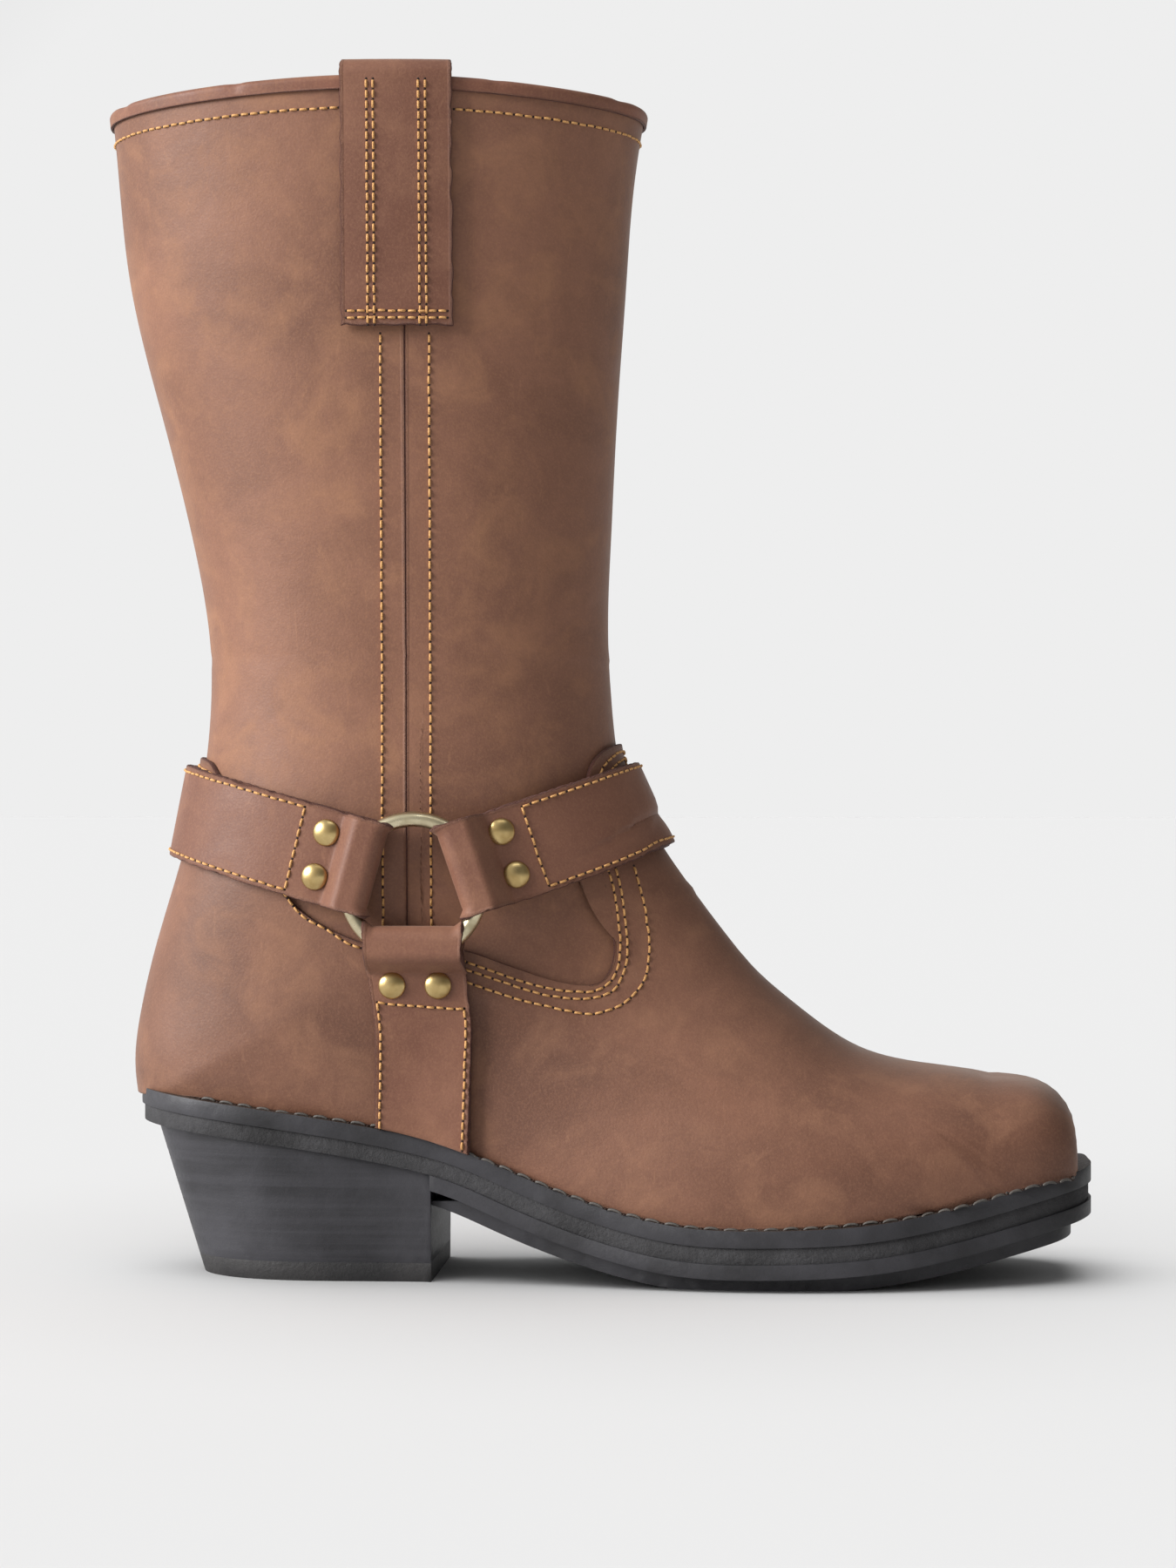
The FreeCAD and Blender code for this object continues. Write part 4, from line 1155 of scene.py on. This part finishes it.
for side in (lateral, medial):
    v = np.linspace(-strap_half, strap_half, strap_lines)
    plies = []
    for height, stand in ((outer_ply, ring_plane + fold_radius), (inner_ply, ring_plane - fold_radius)):
        rows = []
        for share in np.linspace(0, 1, 56):
            line = []
            for across in v:
                start = fold_start(across) + fold_radius
                at_x = ring_middle[0] + across
                depth = ring_middle[2] - welt_height(at_x)
                u = start + (depth - start) * share
                lean = stirrup_lean * eased((u - 20 * mm) / (25 * mm)) + spread(across, u)
                x, z = at_x + lean, ring_middle[2] - u
                hit = skin_hull.ray_cast(Vector((x, side * 0.2, z)), Vector((0, -side, 0)))[0]
                line.append((x, hit.y if hit else side * 0.03, z, u))
            rows.append(line)
        rows = np.array(rows)
        lying = rows[..., :3] + outward(rows[..., :3]) * height
        share = eased((back_on_boot - rows[..., 3]) / (back_on_boot - clear_of_ring))[..., None]
        standing = rows[..., :3] * (1, 0, 1) + np.array((0, side * stand, 0))
        plies.append(lying * (1 - share) + standing * share)
    bend = []
    for angle in np.linspace(0, math.pi, 13)[1:-1]:
        line = []
        for across in v:
            u = fold_start(across) + fold_radius - fold_radius * math.sin(angle)
            at_x = ring_middle[0] + across + spread(across, u)
            line.append((at_x, side * (ring_plane + fold_radius * math.cos(angle)),
                         ring_middle[2] - u))
        bend.append(line)
    base = np.concatenate([plies[0][::-1], np.array(bend), plies[1]])
    out = np.cross(np.gradient(base, axis=0), np.gradient(base, axis=1))
    if out[20, middle_line, 1] * side < 0:
        base = base[:, ::-1]
    name = "stirrup_strap_outer" if side == lateral else "stirrup_strap_inner"
    strap_tops[name] = base
    shell = above_welt(grid_shell(base, -ply / 2, ply / 2, cut=0.35 * mm, ragged=0.22 * mm))
    piece(name + "_hide", [shell], [strap_hide], "strap_leather", name)

# ---------------------------------------------------------------- rings, rivets and burrs
# The rings are bent from 4.5 mm brass wire and the rivets are domed brass, both with an
# antique finish, darker and brighter in patches.


def finish(node, material, bevel=0.0, angle=40.0):
    """Gives a CAD piece its surface, with its sharp edges slightly broken."""
    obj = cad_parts[node]
    obj.data.materials.clear()
    obj.data.materials.append(material)
    weld = obj.modifiers.new("weld", "WELD")
    weld.merge_threshold = 0.005 * mm
    if bevel:
        edge = obj.modifiers.new("bevel", "BEVEL")
        edge.width = bevel
        edge.segments = 2
        edge.limit_method = "ANGLE"
        edge.angle_limit = math.radians(angle)
        edge.harden_normals = False
    for polygon in obj.data.polygons:
        polygon.use_smooth = True
    smooth = obj.modifiers.new("smooth", "EDGE_SPLIT")
    smooth.split_angle = math.radians(angle)
    return obj


def antique_brass(name, bright, dark, low_rough, high_rough):
    material, tree, shader = new_material(name)
    n = Nodes(tree)
    worn = n.noise(260.0, 3.0, 0.5, 0.2)
    tone = n.mix(n.span(worn, 0.30, 0.72, 0.35, 1.0), dark, bright)
    n.feed(shader.inputs["Base Color"], tone)
    shader.inputs["Metallic"].default_value = 1.0
    n.feed(shader.inputs["Roughness"], n.span(worn, 0.3, 0.7, high_rough, low_rough))
    n.feed(shader.inputs["Normal"], n.bump(n.noise(900.0, 2.0, 0.5), 0.10, 0.00003))
    return material


ring_brass = antique_brass("ring_brass", rgb(214, 203, 172), rgb(150, 136, 104), 0.22, 0.42)
rivet_brass = antique_brass("rivet_brass", rgb(206, 182, 128), rgb(150, 120, 70), 0.26, 0.40)


def torus_shell(middle, radius, wire, around=96, across=20):
    points, faces = [], []
    for i in range(around):
        turn = 2 * math.pi * i / around
        way = np.array((math.cos(turn), 0, math.sin(turn)))
        for j in range(across):
            tilt = 2 * math.pi * j / across
            sideways = np.array((0, wire * math.sin(tilt), 0))
            points.append(middle + way * (radius + wire * math.cos(tilt)) + sideways)
            k, m = (i + 1) % around, (j + 1) % across
            faces.append((i * across + j, i * across + m, k * across + m, k * across + j))
    return np.array(points), faces, np.zeros(len(points))


for side, name in ((lateral, "outer"), (medial, "inner")):
    middle = ring_middle * (1, 0, 1) + np.array((0, side * ring_plane, 0))
    piece("ring_" + name, [torus_shell(middle, ring_radius, ring_wire / 2)], [ring_brass], "ring_brass",
          "harness_ring_" + name, body=name + "_ring")

rivet_radius, rivet_rise, rivet_length = 4.0 * mm, 1.7 * mm, 3.6 * mm
rivet_from_ring, rivet_apart = 29.0 * mm, 13.4 * mm


def dome_shell(at, out, radius, rise, depth):
    """A low dome with a small turned edge, and the post under it."""
    across = unit(np.cross(out, np.array((0.3, 0.1, 1.0))))
    other = np.cross(out, across)
    profile = [(0.0, rise), (0.22, 0.965 * rise), (0.42, 0.87 * rise), (0.6, 0.72 * rise),
               (0.76, 0.53 * rise),
               (0.88, 0.34 * rise), (0.955, 0.17 * rise), (0.99, 0.02 * rise), (1.0, -0.10 * rise),
               (0.93, -0.24 * rise), (0.40, -0.24 * rise), (0.37, -depth), (0.0, -depth)]
    points, faces, segments = [at + out * rise], [], 28
    for share, height in profile[1:-1]:
        for k in range(segments):
            turn = 2 * math.pi * k / segments
            way = across * math.cos(turn) + other * math.sin(turn)
            points.append(at + way * radius * share + out * height)
    points.append(at - out * depth)
    for k in range(segments):
        m = (k + 1) % segments
        faces.append((0, 1 + k, 1 + m))
        for ring in range(len(profile) - 3):
            first, second = 1 + ring * segments, 1 + (ring + 1) * segments
            faces.append((first + k, second + k, second + m, first + m))
        last = 1 + (len(profile) - 3) * segments
        faces.append((last + k, len(points) - 1, last + m))
    return np.array(points), faces, np.zeros(len(points))


def surface_spot(name, x, z, side):
    """The outer face of a strap where it is seen at x, z from one side, and its direction."""
    base = strap_tops[name]
    hull = hull_of(base)
    hits = []
    for dx, dz in ((0, 0), (3 * mm, 0), (-3 * mm, 0), (0, 3 * mm), (0, -3 * mm)):
        hits.append(np.array(hull.ray_cast(Vector((x + dx, side * 0.2, z + dz)), Vector((0, -side, 0)))[0]))
    out = unit(np.cross(hits[1] - hits[2], hits[3] - hits[4]))
    out = out * np.sign(out[1] * side)
    proud = 0.3 * mm
    return hits[0] + out * (ply / 2 + proud), out


strap_ends = [("front", wraps["front"].start, wraps["front"].along, wraps["front"].across),
              ("rear", wraps["rear"].start, wraps["rear"].along, wraps["rear"].across),
              ("stirrup", ring_middle * (1, 0, 1), np.array((0, 0, -1.0)), np.array((1.0, 0, 0)))]
domes = []
rivet_spots = []
for name, start, along, across in strap_ends:
    for side in (lateral, medial):
        strap = name
        if name == "stirrup":
            strap = "stirrup_strap_outer" if side == lateral else "stirrup_strap_inner"
        for step in (-0.5, 0.5):
            spot = start + along * rivet_from_ring + across * rivet_apart * step
            at, out = surface_spot(strap, spot[0], spot[2], side)
            domes.append(dome_shell(at, out, rivet_radius, rivet_rise, rivet_length))
            rivet_spots.append((at, out))
piece("rivet_domes", domes, [rivet_brass], "rivet_brass", "rivets")
burr_depth, burr_radius, burr_rise = 3.2 * mm, 3.5 * mm, 0.4 * mm
washers = []
for at, out in rivet_spots:
    washers.append(dome_shell(at - out * burr_depth, out, burr_radius, burr_rise, burr_rise))
piece("burr_washers", washers, [rivet_brass], "rivet_brass", "rivet_burrs")

# ---------------------------------------------------------------- stitching
# Bonded golden thread at about eight stitches to the inch, sunk a little into the hide at each
# needle hole; each hole holds a dark cap of painted shade. Single rows hold the rim and the strap plies,
# double rows the vamp's edge.
pitch = 3.0 * mm
thread_radius = 0.36 * mm
thread_gold, tree, shader = new_material("thread_gold")
n = Nodes(tree)
twist = n.noise(2600.0, 3.0, 0.7)
n.feed(shader.inputs["Base Color"], n.mix(n.span(twist, 0.35, 0.65), rgb(168, 116, 62), rgb(222, 172, 108)))
shader.inputs["Roughness"].default_value = 0.6
n.feed(shader.inputs["Normal"], n.bump(twist, 0.6, 0.0003))
# Painted shade: each needle hole gets a near-black cap that stands for the shade inside the hole.
hole_painted_shade, tree, shader = new_material("needle_hole_painted_shade")
n = Nodes(tree)
n.feed(shader.inputs["Base Color"], n.mix(n.noise(900.0), rgb(30, 15, 10), rgb(48, 26, 18)))
shader.inputs["Roughness"].default_value = 0.9


def stitch_shell(start, end, out_start, out_end, radius, sink):
    """One stitch: a short tube that bows up between its two needle holes."""
    points, faces = [], []
    way = unit(end - start)
    stations = ((0.0, -sink, 0.55), (0.08, 0.10 * radius, 0.95), (0.3, 0.75 * radius, 1.0),
                (0.5, 0.85 * radius, 1.03), (0.7, 0.75 * radius, 1.0), (0.92, 0.10 * radius, 0.95),
                (1.0, -sink, 0.55))
    sides = 7
    for share, lift, fat in stations:
        out = unit(out_start * (1 - share) + out_end * share)
        across = unit(np.cross(way, out))
        middle = start + (end - start) * share + out * lift
        for k in range(sides):
            turn = 2 * math.pi * k / sides
            points.append(middle + (across * math.cos(turn) + out * math.sin(turn)) * radius * fat)
    for ring in range(len(stations) - 1):
        for k in range(sides):
            a, b = ring * sides + k, ring * sides + (k + 1) % sides
            faces.append((a + sides, b + sides, b, a))
    faces.append(tuple(range(sides)))
    last = (len(stations) - 1) * sides
    faces.append(tuple(range(last + sides - 1, last - 1, -1)))
    return points, faces


# The dark cap of painted shade that sits in a needle hole.
def hole_shade_cap(at, out, radius):
    across = unit(np.cross(out, np.array((0.2, 0.3, 1.0))))
    other = np.cross(out, across)
    points = []
    for height in (0.05 * mm, -0.30 * mm):
        for k in range(7):
            turn = 2 * math.pi * k / 7
            points.append(at + (across * math.cos(turn) + other * math.sin(turn)) * radius + out * height)
    faces = [tuple(range(6, -1, -1)), tuple(range(7, 14))]
    faces += [(k, (k + 1) % 7, (k + 1) % 7 + 7, k + 7) for k in range(7)]
    return points, faces


def sew(name, rows, gap=pitch, radius=thread_radius, materials=None):
    """Rows of stitches as one piece. A row is its points on the hide and the directions out of it."""
    points, faces, kinds = [], [], []

    def keep(shape, kind):
        start = len(points)
        points.extend(shape[0])
        faces.extend([tuple(i + start for i in face) for face in shape[1]])
        kinds.extend([kind] * len(shape[1]))

    for line, out in rows:
        gaps = np.linalg.norm(np.diff(line, axis=0), axis=1)
        walked = np.concatenate([[0], np.cumsum(gaps)])
        count = max(int(round(walked[-1] / gap)), 1)
        at = np.linspace(0, walked[-1], count + 1)
        holes = np.stack([np.interp(at, walked, line[:, k]) for k in range(3)], axis=1)
        ways = unit(np.stack([np.interp(at, walked, out[:, k]) for k in range(3)], axis=1))
        for k in range(count):
            run = holes[k + 1] - holes[k]
            stray = wobble.normal(0, 0.05 * mm, 3)
            start, end = holes[k] + run * 0.11 + stray, holes[k + 1] - run * 0.11 + stray
            keep(stitch_shell(start, end, ways[k], ways[k + 1], radius, 0.5 * radius), 0)
            keep(hole_shade_cap(holes[k], ways[k], radius * 1.05), 1)
        keep(hole_shade_cap(holes[-1], ways[-1], radius * 1.05), 1)
    mesh = mesh_of(name, points, faces, materials or [thread_gold, hole_painted_shade])
    for polygon, kind in zip(mesh.polygons, kinds):
        polygon.material_index = kind
    obj = link(bpy.data.objects.new(name, mesh))
    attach(obj, "root")
    return obj


def on_hide(line, height):
    """(slice, column) pairs as a row on the hide at this height."""
    return on_last(line[:, 0], line[:, 1], np.full(len(line), height))


def row_on(points, side, height, count=120):
    return on_hide(traced(points, side, count), height)


foot_top = sewn_gap + leather
rows = []
below_rim = 8.4 * mm
columns = np.linspace(0, turns, 700)
rim_stitch = np.stack([rim_rows(columns, below_rim), columns], axis=1)
line, out = on_hide(rim_stitch, 0.0)
x = side_view(line)[0]
clear = np.abs(x - pull_x) > pull_half + 0.3
starts = np.where(np.diff(clear.astype(int)) != 0)[0] + 1
for part in np.split(np.arange(len(line)), starts):
    if clear[part[0]]:
        rows.append((line[part], out[part]))
seam_row = 7.1
for side in (lateral, medial):
    for across in (-seam_row, seam_row):
        x = seam_x + across
        rows.append(row_on([(x, 279.0), (x, 190.0), (x, 102.0)], side, 0.0, 260))
sew("shaft_stitching", rows)

vamp_row_1 = [(162, 158.6), (147.8, 157.9), (142.2, 155.2), (138.8, 149), (139.6, 137), (141.0, 126),
              (143.2, 118.4), (144.4, 113), (145.5, 106), (146.3, 100), (146.0, 93.9), (143.8, 88.4),
              (138.9, 85.8), (133, 85.8), (125.6, 86.9), (116.4, 89.6), (108.4, 92.6), (99.0, 96.0)]
vamp_row_2 = [(161, 156.4), (148.5, 155.8), (143.8, 153.4), (141, 148.3), (141.8, 137), (143.2, 126),
              (145.0, 119.4), (146.4, 113), (147.5, 106), (148.3, 100), (148.1, 93.6), (145.8, 87.0),
              (141.8, 84.4), (136.1, 83.6), (131.5, 83.8), (123, 85.4), (109, 90.2), (98.0, 94.0)]
vamp_row_3 = [(149.3, 122.5), (151.1, 116.6), (152.9, 110.2), (154.5, 101.3), (154.7, 96.2), (154.2, 90.3),
              (151.7, 85.7), (147.1, 81.6), (140.7, 79.4), (137.1, 79.2), (129.9, 80.3), (116.9, 83.6),
              (108.4, 86.5), (101.0, 89.2)]
counter_row = [(19.0, 153.0), (28.4, 147.6), (37.6, 132.0), (51.4, 110.9), (60.5, 104.8), (70.0, 99.4),
               (83.0, 98.2)]
rows = []
for side in (lateral, medial):
    for points in (vamp_row_1, vamp_row_2, vamp_row_3, counter_row):
        rows.append(row_on(points, side, foot_top, 240))
sew("foot_stitching", rows)


welt_thread, tree, shader = new_material("welt_thread")
n = Nodes(tree)
n.feed(shader.inputs["Base Color"], n.mix(n.noise(1500.0), rgb(34, 31, 30), rgb(96, 90, 84)))
shader.inputs["Roughness"].default_value = 0.55
n.feed(shader.inputs["Normal"], n.bump(n.noise(2600.0), 0.5, 0.0002))
welt_pitch, from_last = 5.8 * mm, 3.9 * mm
rows = []
for side in (lateral, medial):
    run = feather[side][4:]
    line, out = on_hide(run, 0.0)
    flat = unit(out * (1, 1, 0))
    line = line + flat * from_last
    line[:, 2] = welt_height(line[:, 0]) + 0.15 * mm
    rows.append((line, np.broadcast_to(np.array((0, 0, 1.0)), line.shape)))
sew("welt_stitching", rows, welt_pitch, 0.42 * mm, [welt_thread, hole_painted_shade])


def inside_edges(base, row_from, row_to, column_from, column_to, height=ply / 2):
    """A row along a strap's outer face, between two places of its grid."""
    last_row, last_column = base.shape[0] - 1, base.shape[1] - 1
    out = unit(np.cross(np.gradient(base, axis=0), np.gradient(base, axis=1)))
    top = base + out * height
    at_row = np.linspace(row_from, row_to, 160)
    at_column = np.linspace(column_from, column_to, 160)

    def read(field):
        low_row, low_column = np.floor(at_row).astype(int), np.floor(at_column).astype(int)
        low_row, low_column = np.minimum(low_row, last_row - 1), np.minimum(low_column, last_column - 1)
        a, b = (at_row - low_row)[:, None], (at_column - low_column)[:, None]
        return ((1 - a) * (1 - b) * field[low_row, low_column] + a * (1 - b) * field[low_row + 1, low_column]
                + (1 - a) * b * field[low_row, low_column + 1] + a * b * field[low_row + 1, low_column + 1])
    return read(top), unit(read(out))


from_edge = 1.8
edge_column = (strap_lines - 1) * from_edge / 28.5
far_column = strap_lines - 1 - edge_column
rows = []
box_reach, stirrup_box = 36.5 * mm, 35.5 * mm
for name in ("front", "rear"):
    base = strap_tops[name]
    reach = wraps[name].reach_of(base)
    middle_row = len(base) // 2
    outer_rows = np.arange(38, len(base) - 38)
    for far_half in (False, True):
        part = outer_rows[outer_rows >= middle_row] if far_half else outer_rows[outer_rows < middle_row]
        nearest = part[np.argmin(np.abs(reach[part, middle_line] - box_reach))]
        rows.append(inside_edges(base, nearest, nearest, edge_column, far_column))
        for column in (edge_column, far_column):
            rows.append(inside_edges(base, nearest, middle_row, column, column))
for name in ("stirrup_strap_outer", "stirrup_strap_inner"):
    base = strap_tops[name]
    depth = ring_middle[2] - base[:56, middle_line, 2]
    box_row = int(np.argmin(np.abs(depth - stirrup_box)))
    rows.append(inside_edges(base, box_row, box_row, edge_column, far_column))
    for column in (edge_column, far_column):
        rows.append(inside_edges(base, box_row, 1, column, column))
sew("strap_stitching", rows)

rows = []
for side in (lateral, medial):
    base = pull_bases[side]
    height = pull_ply / 2
    foot_row, rows_to_loop = len(base) - 1, 47
    for across in (-8.2, -6.3, 6.6, 8.5):
        column = middle_line - side * across / pull_half * middle_line
        rows.append(inside_edges(base, foot_row - 0.2, foot_row + 1 - rows_to_loop, column, column, height))
    for up_from_foot in (2.4, 4.4):
        at_row = foot_row - up_from_foot * mm / (loop_z - pull_foot) * rows_to_loop
        rows.append(inside_edges(base, at_row, at_row, 1.2, 20.8, height))
sew("pull_strap_stitching", rows)

# ---------------------------------------------------------------- sole and heel
# Goodyear style bottom: a rubber welt with a rough top, a band of coarse foamed rubber, a
# smooth outsole with a crowned tread, and an underslung stacked heel with a thin top lift.


def rubber(name, tone, grey, rough, relief, depth, brown_top=False, bands=0.0):
    material, tree, shader = new_material(name)
    n = Nodes(tree)
    fine = n.noise(relief, 6.0, 0.7)
    clouds = n.noise(38.0, 4.0)
    colour = n.mix(n.span(clouds, 0.35, 0.7), tone, grey)
    colour = n.mix(n.span(fine, 0.58, 0.8, 0.0, 0.5), colour, grey)
    normal = n.bump(fine, 0.6, depth)
    if bands:
        lines = n.noise(1.0, 3.0, 0.6, 0.0, n.stretched(6.0, 6.0, bands))
        colour = n.mix(n.span(lines, 0.48, 0.62, 0.0, 0.45), colour, grey)
        normal = n.bump(lines, 0.25, 0.0004, normal)
    if brown_top:
        up = tree.nodes.new("ShaderNodeSeparateXYZ")
        n.feed(up.inputs[0], tree.nodes["Texture Coordinate"].outputs["Normal"])
        top = n.span(up.outputs["Z"], 0.7, 0.95)
        coarse = n.noise(900.0, 4.0, 0.8)
        brown = n.mix(n.span(coarse, 0.4, 0.65), rgb(42, 32, 27), rgb(78, 62, 52))
        colour = n.mix(top, colour, brown)
        normal = n.bump(n.math("MULTIPLY", coarse, top), 1.0, 0.0008, normal)
    n.feed(shader.inputs["Base Color"], colour)
    n.feed(shader.inputs["Roughness"], n.span(fine, 0.3, 0.7, rough - 0.06, rough + 0.08))
    shader.inputs["Specular IOR Level"].default_value = 0.38
    n.feed(shader.inputs["Normal"], normal)
    return material


black, slate = rgb(30, 29, 31), rgb(58, 57, 61)
bottom_pieces = (
    ("welt", 0.5, rubber("welt_rubber", black, slate, 0.5, 700.0, 0.0002, brown_top=True)),
    ("midsole", 0.3, rubber("midsole_rubber", rgb(34, 33, 34), rgb(66, 65, 67), 0.75, 620.0, 0.0011)),
    ("outsole", 0.6, rubber("outsole_rubber", black, slate, 0.5, 800.0, 0.0002)),
    ("heel_block", 0.4, rubber("heel_rubber", rgb(36, 35, 38), slate, 0.5, 640.0, 0.0002, bands=260.0)),
    ("heel_top_lift", 0.3, rubber("lift_rubber", rgb(30, 29, 30), rgb(50, 48, 48), 0.62, 560.0, 0.0005)),
    ("bottom_filler", 0.0, rubber("cork_filler", rgb(112, 84, 58), rgb(150, 118, 84), 0.9, 420.0, 0.0008)),
    ("insole_board", 0.3, rubber("insole_fibre", rgb(150, 124, 92), rgb(176, 150, 116), 0.85, 520.0, 0.0003)),
    ("toe_puff", 0.0, rubber("puff_board", rgb(186, 176, 156), rgb(208, 200, 182), 0.8, 500.0, 0.0003)),
    ("heel_stiffener", 0.0,
     rubber("stiffener_board", rgb(168, 146, 112), rgb(190, 170, 138), 0.8, 500.0, 0.0003)),
)
for node, broken_edge, material in bottom_pieces:
    finish(node, material, broken_edge * mm)
steel = antique_brass("bare_steel", rgb(188, 190, 192), rgb(136, 136, 138), 0.25, 0.4)
finish("shank", steel, 0.2 * mm)
finish("heel_nails", steel)

# ---------------------------------------------------------------- sock
# A loose leather sock, 2 mm, lies on the insole and is what shows in the bottom of the boot.
sock_low, sock_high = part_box("sock_liner")
sock_tree = tree_of("sock_liner")
stations = np.linspace(sock_low.x + 2.5 * mm, sock_high.x - 2.5 * mm, 110)
sock_base = []
for x in stations:
    z = sock_tree.ray_cast(Vector((x, 0, 0.3)), Vector((0, 0, -1)))[0].z - 1.0 * mm
    edges = []
    for side in (lateral, medial):
        hit = sock_tree.ray_cast(Vector((x, side * 0.2, z)), Vector((0, -side, 0)))[0]
        edges.append(hit.y - side * 0.2 * mm)
    sock_base.append([(x, y, z) for y in np.linspace(edges[0], edges[1], 26)])
sock_base = np.array(sock_base)
sock_shell = grid_shell(sock_base, -0.95 * mm, 0.95 * mm, cut=0.3 * mm)
piece("sock_skin", [sock_shell], [pigskin("sock_leather")], "sock_leather", "sock_liner")
